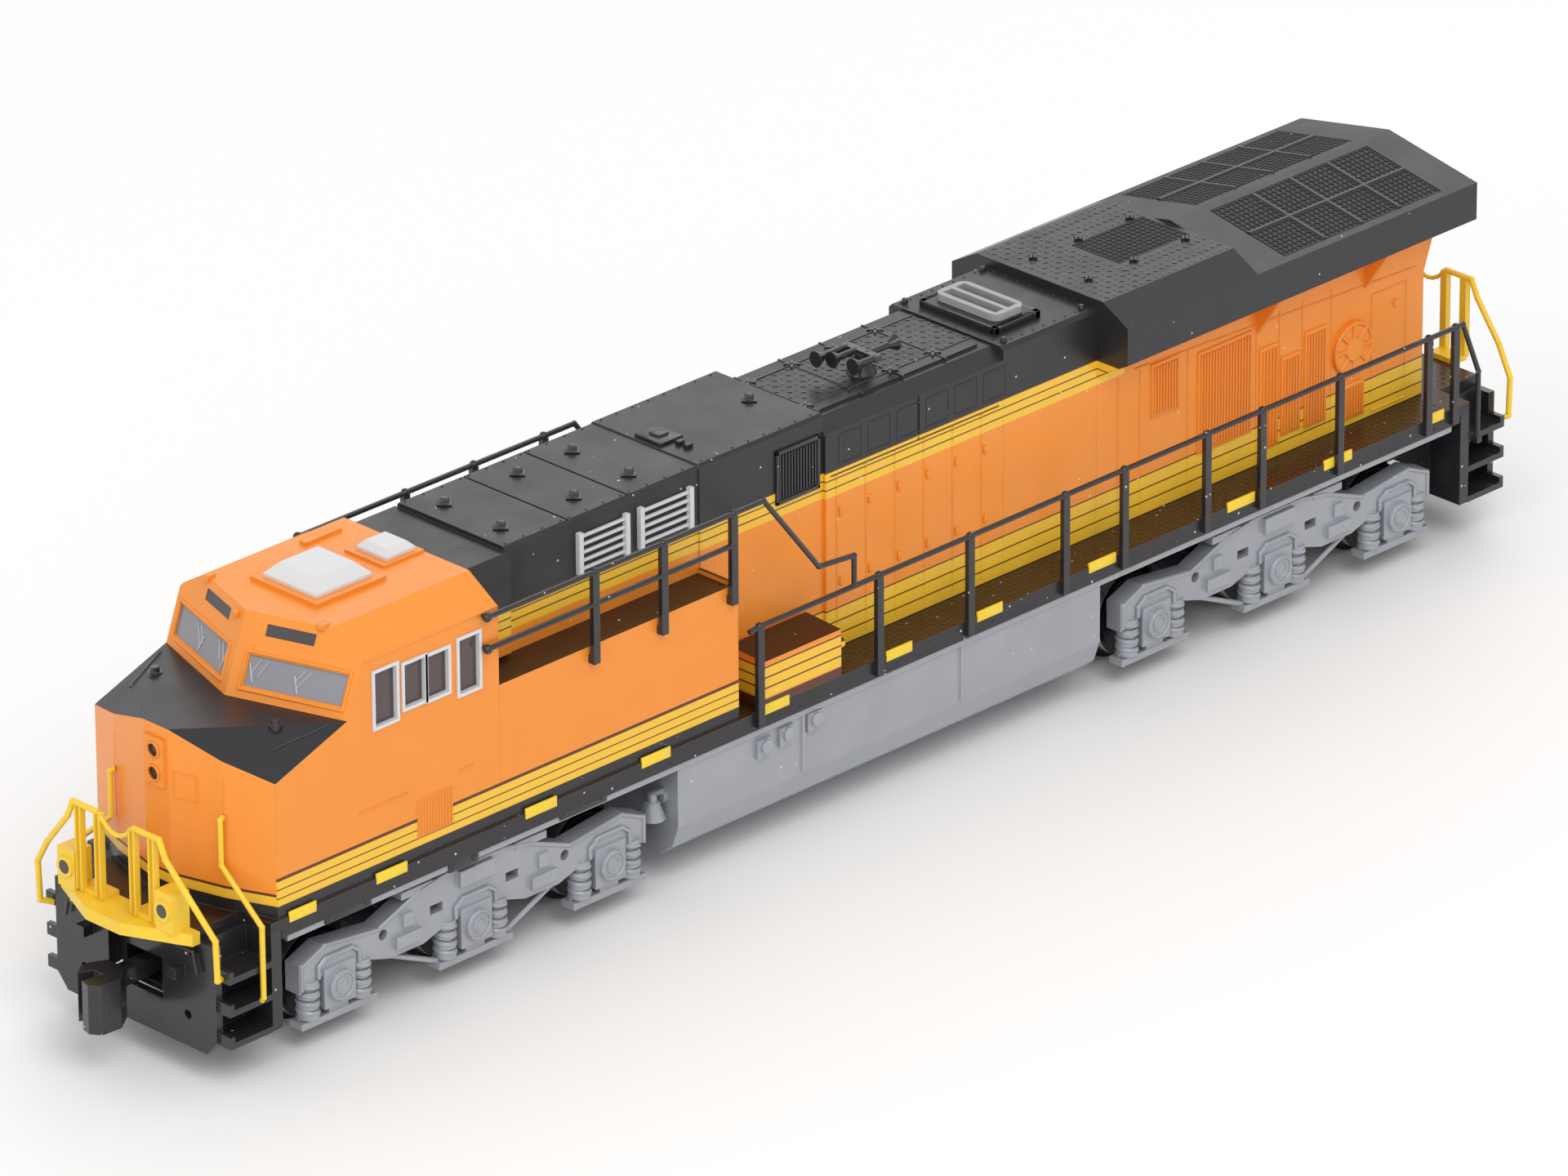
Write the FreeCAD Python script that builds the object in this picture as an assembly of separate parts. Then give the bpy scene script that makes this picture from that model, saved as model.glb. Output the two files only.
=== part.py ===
import FreeCAD, Part
import math
import os

Vec = FreeCAD.Vector

# Six-axle diesel locomotive model, N scale (1:160).
# +X is forward (cab end), +Y is the left side, Z = 0 is the bottom of the wheel flanges.

# Overall sizes
length_over_couplers = 139.4
body_half_width = 9.2          # walkway and sill
cab_half_width = body_half_width - 0.2
wall = 0.6                     # moulded shell wall
fit_gap = 0.05                 # radial clearance of every running fit

# Wheels and trucks
tread_radius = 3.335
flange_height = 0.55
wheel_back = 3.8               # half the back-to-back distance
flange_width = 0.55
wheel_width = 2.0
axle_radius = 0.75
truck_centre = 40.5            # truck pivot from the middle of the model
frame_inner = 6.9              # inner face of a truck side frame
frame_outer = 8.3
journal_face = 8.8

# Gears
gear_module = 0.3
worm_gear_teeth = 15
axle_gear_teeth = 16
idler_teeth = 28
gear_width = 1.0
worm_gear_width = 0.8
gear_backlash = 0.05
worm_backlash = 0.10
gear_room = 0.45               # gap round a gear in the gearbox
gearbox_half = 3.3
slot_half = 0.75               # half the gear slot in the gearbox
pin_reach = 2.0
cover_top = 2.6
cover_bottom = 1.9
idler_rise = 1.4               # idler centre above the axles
pin_radius = 0.6
worm_pitch_radius = 1.6
worm_turns = 6

# Drive line
shaft_radius = 0.6
can_half = 4.0
can_length = 17.0
flywheel_radius = 3.7
flywheel_length = 7.4
flywheel_gap = 1.5             # motor end cap to flywheel
cap_outer = can_length / 2 + 1.7
flywheel_inner = cap_outer + flywheel_gap
flywheel_outer = flywheel_inner + flywheel_length
coupling_length = 1.6          # end of the worm shaft inside the flywheel
coupling_radius = 1.0
bearing_inner = truck_centre - 5.5
bearing_outer = truck_centre + 4.3
bearing_length = 1.2
bearing_half = 1.8
bearing_foot = 1.6             # bearing below the shaft

# Chassis
chassis_half_width = 4.6
chassis_split = 0.15           # half the insulating gap between the halves
chassis_top = 23.6
chassis_front = 52.0
chassis_rear = 57.6
belly_drop = 1.985             # underside over the trucks, below the drive shaft
chassis_keel = 2.6             # underside inside the fuel tank
pivot_radius = 3.6
board_thickness = 0.6
board_front = 36.0
board_rear = 54.0
screw_places = [(28.0, 19.5), (-28.0, 19.5)]

# Walkway level
sill_bottom = 9.7
deck_bottom = 10.3
deck_top = 11.1
shell_base = 12.0              # underside of the cab
sill_thickness = 0.8
platform_end = 64.4            # end faces of the pilots
pilot_bottom = 1.95
pilot_half_width = body_half_width - 1.2
step_back = 60.3
step_inner = 6.2
hole_radius = 0.35
hole_height = 4.37
hole_offset = 5.16

# Body shell stations along X
cab_rear = 38.5
hatch_front = 34.3
hatch_rear = 15.6
tall_rear = 3.45
engine_rear = -14.5
exhaust_rear = -24.1
radiator_step = -37.7
wing_rear = -61.2
hood_rear = -58.9
cavity_half = 4.85
cavity_top = 28.1

# Body shell heights and widths
cab_roof = 29.24
cab_roof_half = 6.2
cab_eave = 27.45
nose_top = 23.6
nose_front = 62.0
nose_strip_half = 1.22
nose_corner = 59.4
nose_corner_top = 21.2
windshield_outer = 52.7
windshield_centre = 55.6
windshield_top = 53.5
pane_inner = 1.05
pane_outer = 8.3
pane_low = 24.4
pane_high = 26.5
frame_border = 0.25
lamp_high = 21.76
lamp_low = 20.03
lamp_radius = 0.55
rear_lamp_high = 26.2
rear_lamp_low = 24.6
ditch_front = 66.3
ditch_y = 4.88
ditch_z = 12.7
ditch_lens_radius = 0.5
hatch_half = 5.3
hatch_top = 29.3
hatch_base_top = 28.95
hatch_base_half = 5.9
tall_half = 5.42
tall_top = 29.4
engine_half = 5.7
engine_side_top = 27.85
engine_bevel = 4.45
engine_top = 28.7
exhaust_top = 28.86
wing_half = 8.75
wing_bottom = 25.3
wing_top = 28.2
wing_root = 23.6
radiator_flat = 6.3
radiator_top = 29.55
ridge_top = 29.85
screen_front = -41.2
screen_rear = -58.0
screen_near = 0.7
screen_far = 8.1
screen_depth = 0.3
side_box_rear = 15.46
side_box_top = 21.5
toolbox_front = 13.2
toolbox_rear = 5.5
toolbox_top = 14.9
# Side windows: rear edge, front edge, sill and head
side_window_spans = [(48.15, 50.15, 22.3, 26.3), (45.5, 47.4, 22.8, 26.0), (43.3, 45.2, 22.7, 25.9),
                     (40.4, 42.25, 22.1, 26.1)]

# Railings
rail_radius = 0.2
rail_y = body_half_width + 0.2
rail_z = 17.73
post_width = 0.6
post_depth = 0.4
upper_rail_z = 27.2
middle_rail_z = 24.8
end_rail_x = 65.8
end_rail_z = 17.7
end_post_inner = 1.73
end_post_outer = 3.66
lower_posts = [13.78, 1.92, -7.27, -17.02, -23.13, -31.77, -37.6, -45.92, -55.49]
upper_posts = [29.7, 23.1, 16.3]

# Fuel tank and couplers
tank_front = truck_centre - 19.2
tank_half = body_half_width - 0.4
tank_top = 9.15
tank_bottom = 1.9
coupler_pivot = 60.4
coupler_z = 6.0
knuckle_bottom = 3.3

axle_z = flange_height + tread_radius
flange_radius = tread_radius + flange_height


def pitch_radius(teeth):
    return gear_module * teeth / 2


worm_gear_z = axle_z + pitch_radius(axle_gear_teeth) + pitch_radius(worm_gear_teeth)
shaft_z = worm_gear_z + pitch_radius(worm_gear_teeth) + worm_pitch_radius
worm_pitch = math.pi * gear_module
idler_z = axle_z + idler_rise
gear_link = pitch_radius(axle_gear_teeth) + pitch_radius(idler_teeth)
idler_x = math.sqrt(gear_link ** 2 - idler_rise ** 2)
geared_spacing = 2 * idler_x
axle_gear_room = pitch_radius(axle_gear_teeth) + gear_room
gearbox_slot_end = geared_spacing + axle_gear_room
gearbox_end = gearbox_slot_end + wall
chassis_belly = shaft_z - belly_drop


# Basic solids

def box(x0, x1, y0, y1, z0, z1):
    return Part.makeBox(x1 - x0, y1 - y0, z1 - z0, Vec(x0, y0, z0))


def flat(points):
    corners = [Vec(*p) for p in points]
    return Part.Face(Part.makePolygon(corners + corners[:1]))


def along_x(yz, x0, x1):
    return flat([(x0, y, z) for y, z in yz]).extrude(Vec(x1 - x0, 0, 0))


def along_y(xz, y0, y1):
    return flat([(x, y0, z) for x, z in xz]).extrude(Vec(0, y1 - y0, 0))


def along_z(xy, z0, z1):
    return flat([(x, y, z0) for x, y in xy]).extrude(Vec(0, 0, z1 - z0))


def rod_x(x0, x1, y, z, radius):
    return Part.makeCylinder(radius, x1 - x0, Vec(x0, y, z), Vec(1, 0, 0))


def rod_y(x, y0, y1, z, radius):
    return Part.makeCylinder(radius, y1 - y0, Vec(x, y0, z), Vec(0, 1, 0))


def rod_z(x, y, z0, z1, radius):
    return Part.makeCylinder(radius, z1 - z0, Vec(x, y, z0), Vec(0, 0, 1))


def bar(start, end, radius):
    a = Vec(*start)
    b = Vec(*end)
    return Part.makeCylinder(radius, (b - a).Length, a, b - a)


def bent_bar(points, radius):
    """A rod along the points, with balls at its bends a little larger so that they cut the rods cleanly."""
    pieces = [bar(p, q, radius) for p, q in zip(points, points[1:])]
    pieces += [Part.makeSphere(radius + 0.02, Vec(*p)) for p in points[1:-1]]
    return join(pieces)


def join(shapes):
    whole = shapes[0]
    if len(shapes) > 1:
        whole = whole.fuse(shapes[1:])
    return whole.removeSplitter()


def cut(shape, tools):
    return shape.cut(tools).removeSplitter()


def other_side(shape):
    return shape.mirror(Vec(0, 0, 0), Vec(0, 1, 0))


def other_end(shape):
    return shape.mirror(Vec(0, 0, 0), Vec(1, 0, 0))


def with_other_side(shapes):
    return shapes + [other_side(s) for s in shapes]


def group(shapes):
    solids = []
    for shape in shapes:
        solids += shape.Solids
    return Part.makeCompound(solids)


def half_space(point, normal):
    size = 400
    block = Part.makeBox(size, size, size, Vec(-size / 2, -size / 2, 0))
    turn = FreeCAD.Rotation(Vec(0, 0, 1), Vec(*normal))
    block.Placement = FreeCAD.Placement(Vec(*point), turn)
    return block


def trim(shape, a, b, c, inset, inside):
    """Cut away what lies beyond the plane through a, b and c, moved by inset towards the point inside."""
    origin = Vec(*a)
    normal = (Vec(*b) - origin).cross(Vec(*c) - origin)
    normal.normalize()
    if normal.dot(Vec(*inside) - origin) > 0:
        normal = normal * -1
    return shape.cut(half_space(origin - normal * inset, normal))


# Gears

def involute_point(base, radius, offset):
    ratio = max(1.0, radius / base)
    roll = math.sqrt(ratio * ratio - 1)
    angle = roll - math.atan(roll)
    return offset - angle


def gear_face_points(teeth, tooth_angle, backlash):
    pitch = pitch_radius(teeth)
    base = pitch * math.cos(math.radians(20))
    root = pitch - 1.2 * gear_module
    tip = pitch + 0.88 * gear_module
    half_tooth = (math.pi * gear_module / 2 - backlash) / (2 * pitch)
    at_base = half_tooth + (math.tan(math.radians(20)) - math.radians(20))
    radii = [root, max(base, root), (pitch + base) / 2, (pitch + tip) / 2, tip]
    flank = [(r, involute_point(base, r, at_base)) for r in radii]
    points = []
    for k in range(teeth):
        centre = math.radians(tooth_angle) + 2 * math.pi * k / teeth
        rising = [(r, centre - a) for r, a in flank]
        falling = [(r, centre + a) for r, a in reversed(flank)]
        points += [(r * math.cos(t), r * math.sin(t)) for r, t in rising + falling]
    return points


def gear(x, z, teeth, tooth_angle, width, backlash):
    outline = [(x + u, z + w) for u, w in gear_face_points(teeth, tooth_angle, backlash)]
    return along_y(outline, -width / 2, width / 2)


def meshing_angle(angle_a, teeth_a, direction, teeth_b):
    """Tooth angle of gear b, which lies in the given direction from gear a and meshes with it."""
    step = 360.0 / teeth_a
    off = (angle_a - direction + step / 2) % step - step / 2
    gap = direction + 180 - off * teeth_a / teeth_b
    return gap + 180.0 / teeth_b


def pinned_gear(x, z, teeth, tooth_angle, width, backlash):
    disc = gear(x, z, teeth, tooth_angle, width, backlash)
    hub = rod_y(x, -slot_half + fit_gap, slot_half - fit_gap, z, pin_radius + 0.4)
    pin = rod_y(x, -pin_reach, pin_reach, z, pin_radius)
    return join([disc, hub, pin])


worm_gear_angle = -90.0
middle_angle = meshing_angle(worm_gear_angle, worm_gear_teeth, -90.0, axle_gear_teeth)
front_line = math.degrees(math.atan2(idler_rise, idler_x))
rear_line = 180.0 - front_line
idler_angles = {
    1: meshing_angle(middle_angle, axle_gear_teeth, front_line, idler_teeth),
    -1: meshing_angle(middle_angle, axle_gear_teeth, rear_line, idler_teeth),
}
axle_angles = {
    1: meshing_angle(idler_angles[1], idler_teeth, -front_line, axle_gear_teeth),
    0: middle_angle,
    -1: meshing_angle(idler_angles[-1], idler_teeth, -rear_line, axle_gear_teeth),
}


def wheel(x):
    outer = wheel_back + wheel_width
    tread_start = wheel_back + flange_width
    flange = rod_y(x, wheel_back, tread_start, axle_z, flange_radius)
    tread = rod_y(x, tread_start, outer, axle_z, tread_radius)
    dish = rod_y(x, outer - 0.4, outer, axle_z, tread_radius - 0.5)
    hub = rod_y(x, outer - 0.4, outer - 0.05, axle_z, 1.1)
    stub = rod_y(x, 0.1, wheel_back, axle_z, axle_radius)
    return join([flange, tread, stub]).cut(dish).fuse(hub).removeSplitter()


def wheelset(x, tooth_angle):
    left = wheel(x)
    muff = rod_y(x, -slot_half + fit_gap, slot_half - fit_gap, axle_z, axle_radius + 0.4)
    teeth = gear(x, axle_z, axle_gear_teeth, tooth_angle, gear_width, gear_backlash)
    bore = [rod_y(x, 0.1, wheel_back, axle_z, axle_radius)]
    sleeve = cut(join([muff, teeth]), with_other_side(bore))
    return group([left, other_side(left), sleeve])


# Gearbox frame of a truck, x measured from its pivot

def gearbox(cx):
    half = gearbox_half
    end = gearbox_end
    shoulder = idler_x + 4.6
    bottom = cover_top
    top = chassis_belly - 0.45
    side = [(-end, bottom), (end, bottom), (end, 6.4), (shoulder, top), (-shoulder, top), (-end, 6.4)]
    body = along_y([(cx + u, w) for u, w in side], -half, half)
    pad = rod_z(cx, 0, top, chassis_belly - fit_gap, pivot_radius + 1.0)
    collar = rod_z(cx, 0, top, deck_top + 0.1, pivot_radius)
    body = join([body, pad, collar])
    tools = [
        box(cx - gearbox_slot_end, cx + gearbox_slot_end, -slot_half, slot_half, bottom - 1, idler_z),
        box(cx - 2.9, cx + 2.9, -slot_half, slot_half, idler_z, deck_top + 1),
        rod_x(cx - 6, cx + 6, 0, shaft_z, worm_pitch_radius + 0.6),
    ]
    idler_room = pitch_radius(idler_teeth) + gear_room
    for sign in (1, -1):
        tools.append(rod_y(cx + sign * idler_x, -slot_half, slot_half, idler_z, idler_room))
        tools.append(rod_y(cx + sign * idler_x, -pin_reach - fit_gap, pin_reach + fit_gap, idler_z,
                           pin_radius + fit_gap))
    tools.append(rod_y(cx, -pin_reach - fit_gap, pin_reach + fit_gap, worm_gear_z, pin_radius + fit_gap))
    for k in (-1, 0, 1):
        x = cx + k * geared_spacing
        tools.append(rod_y(x, -half - 1, half + 1, axle_z, axle_radius + fit_gap))
        tools.append(box(x - axle_radius - fit_gap, x + axle_radius + fit_gap, -half - 1, half + 1,
                         bottom - 1, axle_z))
        tools.append(rod_y(x, -slot_half, slot_half, axle_z, axle_gear_room))
    return cut(body, tools)


def truck_cover(cx):
    plate = box(cx - gearbox_end, cx + gearbox_end, -gearbox_half, gearbox_half, cover_bottom, cover_top)
    slot = box(cx - gearbox_slot_end, cx + gearbox_slot_end, -slot_half, slot_half,
               cover_bottom - 1, cover_top + 1)
    return cut(plate, [slot])


def coil_spring(x, y, z0, z1, radius):
    turns = 4
    pitch = (z1 - z0) / turns
    pieces = [rod_z(x, y, z0, z1, radius * 0.72)]
    for k in range(turns):
        pieces.append(rod_z(x, y, z0 + k * pitch + 0.12, z0 + (k + 1) * pitch - 0.12, radius))
    return join(pieces)


def side_frame(cx):
    """Left side frame: outline plate, journal boxes with caps, spring groups, brackets."""
    end = geared_spacing + 3.6
    step = geared_spacing / 2
    cross_half = 0.58 * (step - flange_radius)
    outline = [(-end, 4.2), (-end, 6.4), (-geared_spacing - 1.4, 7.3), (-step - 2.6, 6.7), (-step + 1.2, 8.2),
               (-2.6, 8.7), (2.6, 8.7), (step - 1.2, 8.2), (step + 2.6, 6.7), (geared_spacing + 1.4, 7.3),
               (end, 6.4), (end, 4.2), (geared_spacing + 1.9, 4.9), (geared_spacing - 1.9, 4.9),
               (step + 1.6, 4.0), (step - 1.6, 4.0), (1.9, 4.9), (-1.9, 4.9),
               (-step + 1.6, 4.0), (-step - 1.6, 4.0), (-geared_spacing + 1.9, 4.9),
               (-geared_spacing - 1.9, 4.9)]
    pieces = [along_y([(cx + u, w) for u, w in outline], frame_inner, frame_outer)]
    for k in (-1, 0, 1):
        x = cx + k * geared_spacing
        pieces.append(box(x - 1.45, x + 1.45, frame_inner, frame_outer + 0.2, axle_z - 1.5, 5.4))
        pieces.append(rod_y(x, frame_inner, journal_face, axle_z, 1.15))
        pieces.append(box(x - 3.5, x + 3.5, frame_inner + 0.2, frame_outer + 0.1, 1.45, 1.95))
        pieces.append(box(x - 0.9, x + 0.9, frame_inner, frame_outer, 1.9, axle_z))
        for side in (-2.4, 2.4):
            pieces.append(coil_spring(x + side, (frame_inner + frame_outer) / 2 + 0.2, 1.9, 5.0, 0.8))
    for sign in (-1, 1):
        x = cx + sign * step
        pieces.append(box(x - 1.2, x + 1.2, frame_inner, frame_outer + 0.35, 4.6, 5.5))
        pieces.append(box(x - 0.45, x + 0.45, frame_outer - 0.1, frame_outer + 0.25, 6.0, 7.0))
        pieces.append(box(x - cross_half, x + cross_half, gearbox_half, frame_inner + 0.5, 4.1, 5.2))
    pieces.append(box(cx - 1.6, cx + 1.6, frame_inner, frame_outer + 0.4, 7.2, 8.4))
    frame = join(pieces)
    holes = [rod_y(cx + u, frame_inner - 1, frame_outer + 1, 6.0, 0.4) for u in (-step - 2.2, step + 2.2)]
    holes += [box(cx + u - 0.6, cx + u + 0.6, frame_inner - 1, frame_outer + 1, 5.9, 6.6)
              for u in (-3.6, 3.6)]
    return cut(frame, holes)


def truck_side_frames(cx):
    left = side_frame(cx)
    return group([left, other_side(left)])


# Drive line

def worm_thread(cx):
    height = worm_turns * worm_pitch
    helix = Part.makeHelix(worm_pitch, height, worm_pitch_radius)
    tip = worm_pitch_radius + 0.25
    foot = worm_pitch_radius - 0.45
    tip_half = 0.09
    foot_half = 0.34
    corners = [Vec(foot, 0, -foot_half), Vec(tip, 0, -tip_half), Vec(tip, 0, tip_half),
               Vec(foot, 0, foot_half)]
    profile = Part.makePolygon(corners + corners[:1])
    thread = Part.Wire(helix).makePipeShell([profile], True, True)
    thread.rotate(Vec(0, 0, 0), Vec(0, 1, 0), 90)
    thread.translate(Vec(cx - height / 2, 0, shaft_z))
    return thread


def worm_shaft(cx):
    """Front shaft: coupling end in the flywheel, shaft, worm over the truck pivot."""
    core = worm_pitch_radius - 0.35
    half = worm_turns * worm_pitch / 2 + 0.5
    start = flywheel_outer - coupling_length
    sign = 1 if cx > 0 else -1
    near, far = sorted((sign * start, sign * (truck_centre + 6.0)))
    coupling = sorted((sign * start, sign * (flywheel_outer + 1.0)))
    body = join([
        rod_x(near, far, 0, shaft_z, shaft_radius),
        rod_x(coupling[0], coupling[1], 0, shaft_z, coupling_radius),
        rod_x(cx - half, cx + half, 0, shaft_z, core),
    ])
    return body.fuse(worm_thread(cx))


def worm_shafts():
    return group([worm_shaft(truck_centre), worm_shaft(-truck_centre)])


def armature():
    pack = rod_x(-6, 6, 0, shaft_z, can_half - 0.7)
    slots = []
    for k in range(5):
        slot = box(-7, 7, -0.45, 0.45, shaft_z + 1.6, shaft_z + can_half)
        slot.rotate(Vec(0, 0, shaft_z), Vec(1, 0, 0), 72 * k)
        slots.append(slot)
    commutator = rod_x(6, 7.8, 0, shaft_z, 1.4)
    reach = flywheel_outer - coupling_length
    shaft = rod_x(-reach, reach, 0, shaft_z, shaft_radius)
    return join([cut(pack, slots), commutator, shaft])


def flywheels():
    wheel_body = rod_x(flywheel_inner, flywheel_outer, 0, shaft_z, flywheel_radius)
    socket_floor = flywheel_outer - coupling_length
    bore = rod_x(flywheel_inner - 1, socket_floor, 0, shaft_z, shaft_radius)
    socket = rod_x(socket_floor, flywheel_outer + 1, 0, shaft_z, coupling_radius)
    groove = rod_x(flywheel_inner + 2, flywheel_inner + 2.4, 0, shaft_z, flywheel_radius)
    groove = groove.cut(rod_x(flywheel_inner + 1, flywheel_inner + 3, 0, shaft_z, flywheel_radius - 0.3))
    one = cut(wheel_body, [bore, socket, groove])
    return group([one, other_end(one)])


def motor_can():
    half = can_length / 2
    block = box(-half, half, -can_half, can_half, shaft_z - can_half, shaft_z + can_half)
    edges = [e for e in block.Edges if abs(e.tangentAt(e.FirstParameter).x) > 0.9]
    block = block.makeFillet(1.2, edges)
    return cut(block, [rod_x(-half - 1, half + 1, 0, shaft_z, can_half - 0.45)])


def motor_end_caps():
    half = can_length / 2
    reach = can_half - 0.4
    plate = box(half, half + 1.2, -reach, reach, shaft_z - reach, shaft_z + reach)
    boss = rod_x(half, cap_outer, 0, shaft_z, 1.4)
    tabs = [box(half + 0.2, half + 1.0, reach, reach + 0.3, shaft_z + 1.2, shaft_z + 2.6)]
    cap = cut(join([plate, boss] + with_other_side(tabs)),
              [rod_x(half - 1, cap_outer + 1, 0, shaft_z, shaft_radius + fit_gap)])
    return group([cap, other_end(cap)])


def shaft_bearings():
    blocks = []
    for x in (bearing_inner, bearing_outer):
        block = box(x, x + bearing_length, -bearing_half, bearing_half, shaft_z - bearing_foot,
                    shaft_z + bearing_half)
        hole = rod_x(x - 1, x + bearing_length + 1, 0, shaft_z, shaft_radius + fit_gap)
        blocks.append(cut(block, [hole]))
    return group(blocks + [other_end(b) for b in blocks])


# Chassis

def drive_tunnel():
    half = can_length / 2
    room = flywheel_radius + 0.2
    worm_room = worm_pitch_radius + 0.7
    tools = [
        box(-half, half, -can_half, can_half, shaft_z - can_half, shaft_z + can_half),
        box(-cap_outer, cap_outer, -can_half + 0.1, can_half - 0.1, shaft_z - can_half + 0.1,
            shaft_z + can_half - 0.1),
    ]
    parts = [
        box(cap_outer, flywheel_outer + 0.6, -room, room, shaft_z - room, shaft_z + room),
        box(flywheel_outer, bearing_inner, -1.4, 1.4, shaft_z - 1.4, shaft_z + 1.4),
        box(bearing_inner, bearing_outer + bearing_length, -bearing_half, bearing_half,
            shaft_z - bearing_foot, shaft_z + bearing_half),
        box(bearing_inner + bearing_length, bearing_outer, -worm_room, worm_room, chassis_belly - 1,
            shaft_z + worm_room),
        box(bearing_outer, truck_centre + 6.3, -0.9, 0.9, shaft_z - 0.9, shaft_z + 0.9),
        rod_z(truck_centre, 0, chassis_belly - 1, deck_top + 0.3, pivot_radius + fit_gap),
    ]
    return tools + parts + [other_end(p) for p in parts]


def chassis_half():
    keel_end = tank_front - 1.0
    outline = [(-chassis_rear, chassis_belly), (-keel_end, chassis_belly), (-keel_end, chassis_keel),
               (keel_end, chassis_keel), (keel_end, chassis_belly), (chassis_front, chassis_belly),
               (chassis_front, 20.0), (cab_rear - 0.6, 20.0), (cab_rear - 0.6, chassis_top),
               (-chassis_rear, chassis_top)]
    block = along_y(outline, chassis_split, chassis_half_width)
    return cut(block, drive_tunnel())


def chassis_left():
    half = chassis_half()
    for x, z in screw_places:
        shank = rod_y(x, 0, chassis_half_width + 1, z, 0.75)
        seat = rod_y(x, chassis_half_width - 0.7, chassis_half_width + 1, z, 1.35)
        half = half.cut([shank, seat])
    return half


def chassis_right():
    half = other_side(chassis_half())
    return cut(half, [rod_y(x, -3.8, 0, z, 0.7) for x, z in screw_places])


def chassis_fasteners():
    """Nylon screws through both halves, and the insulating washers in the gap between them."""
    pieces = []
    for x, z in screw_places:
        shank = rod_y(x, -3.6, chassis_half_width - 0.7, z, 0.7)
        head = rod_y(x, chassis_half_width - 0.7, chassis_half_width - 0.1, z, 1.3)
        slot = box(x - 1.5, x + 1.5, chassis_half_width - 0.35, chassis_half_width, z - 0.15, z + 0.15)
        pieces.append(cut(join([shank, head]), [slot]))
        ring = rod_y(x, -chassis_split, chassis_split, z, 1.8)
        pieces.append(cut(ring, [rod_y(x, -1, 1, z, 0.72)]))
    return group(pieces)


def circuit_board():
    top = chassis_top + board_thickness
    board = box(-board_rear, board_front, -4.2, 4.2, chassis_top, top)
    chips = [box(-6, 4, -2.5, 2.5, top, top + 1.0), box(10, 14, -1.6, 1.6, top, top + 0.8),
             box(-22, -18, -3.0, -0.5, top, top + 0.8), box(-34, -31, -1, 3, top, top + 0.9)]
    chips += [box(x, x + 1.6, 1.4, 2.3, top, top + 0.6) for x in (18, 22, 26, -40, -44)]
    return join([board] + chips)


def light_emitters():
    top = chassis_top + board_thickness
    front = join([box(board_front - 1.8, board_front - 0.6, -0.8, 0.8, top, top + 1.5),
                  rod_x(board_front - 0.6, board_front - 0.2, 0, top + 0.8, 0.55)])
    rear = join([box(-board_rear + 0.6, -board_rear + 1.8, -0.8, 0.8, top, top + 1.5),
                 rod_x(-board_rear + 0.2, -board_rear + 0.6, 0, top + 0.8, 0.55)])
    return group([front, rear])


def light_guides():
    top = chassis_top + board_thickness
    nose_inner = nose_front - wall
    front = [(board_front, top), (board_front, top + 1.4), (51.0, top + 1.4), (54.6, 22.4),
             (nose_inner, 22.4), (nose_inner, 19.4), (54.0, 19.4), (50.2, top)]
    rear = [(-board_rear, top), (-board_rear, top + 1.4), (-56.0, 27.0), (hood_rear + wall, 27.0),
            (hood_rear + wall, 24.2), (-55.4, 24.2)]
    return group([along_y(front, -0.8, 0.8), along_y(rear, -0.8, 0.8)])


# Walkway, underframe and pilots

def nose_plan(inset):
    strip = nose_strip_half
    return [(nose_front - inset, -strip), (nose_front - inset, strip), (60.9 - inset, 5.4),
            (nose_corner - inset, cab_half_width - inset)]


def base_ring():
    """Raised rim that the cab and the side boxes stand on."""
    def outline(inset):
        front = nose_plan(inset)
        y = cab_half_width - inset
        rear = side_box_rear + inset
        return [(rear, -y), (nose_corner - inset, -y), (60.9 - inset, -5.4)] + front + [(rear, y)]
    ring = along_z(outline(0), deck_top, shell_base)
    return ring.cut(along_z(outline(0.7), deck_top - 1, shell_base + 1))


def walkway():
    end = platform_end
    half = body_half_width
    plate = box(-end, end, -half, half, deck_bottom, deck_top)
    opening = box(-chassis_rear, chassis_front, -chassis_half_width, chassis_half_width,
                  deck_bottom - 1, deck_top + 1)
    wells = with_other_side([box(step_back, end + 1, step_inner, half + 1, 0, 20)])
    wells += [other_end(w) for w in wells]
    skirt = with_other_side([box(-59.3, 59.3, half - sill_thickness, half, sill_bottom, deck_bottom)])
    rim = base_ring().cut(box(side_box_rear - 1, cab_rear, -hatch_base_half, hatch_base_half, 0, 20))
    gap = box(-chassis_rear, chassis_front, -chassis_half_width, chassis_half_width, 0, 20)
    body = join([plate] + skirt).cut([opening] + wells)
    return body.fuse(rim.cut(gap)).removeSplitter()


def underframe_plate():
    half = body_half_width - 0.2
    edge = box(-58.6, 58.6, chassis_half_width, half, tank_top, sill_bottom)
    bay = box(tank_front + 1.2, 58.6, 0, half - 1.2, 0, 20)
    edge = cut(edge, [bay, other_end(bay)])
    return group([edge, other_side(edge)])


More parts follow.
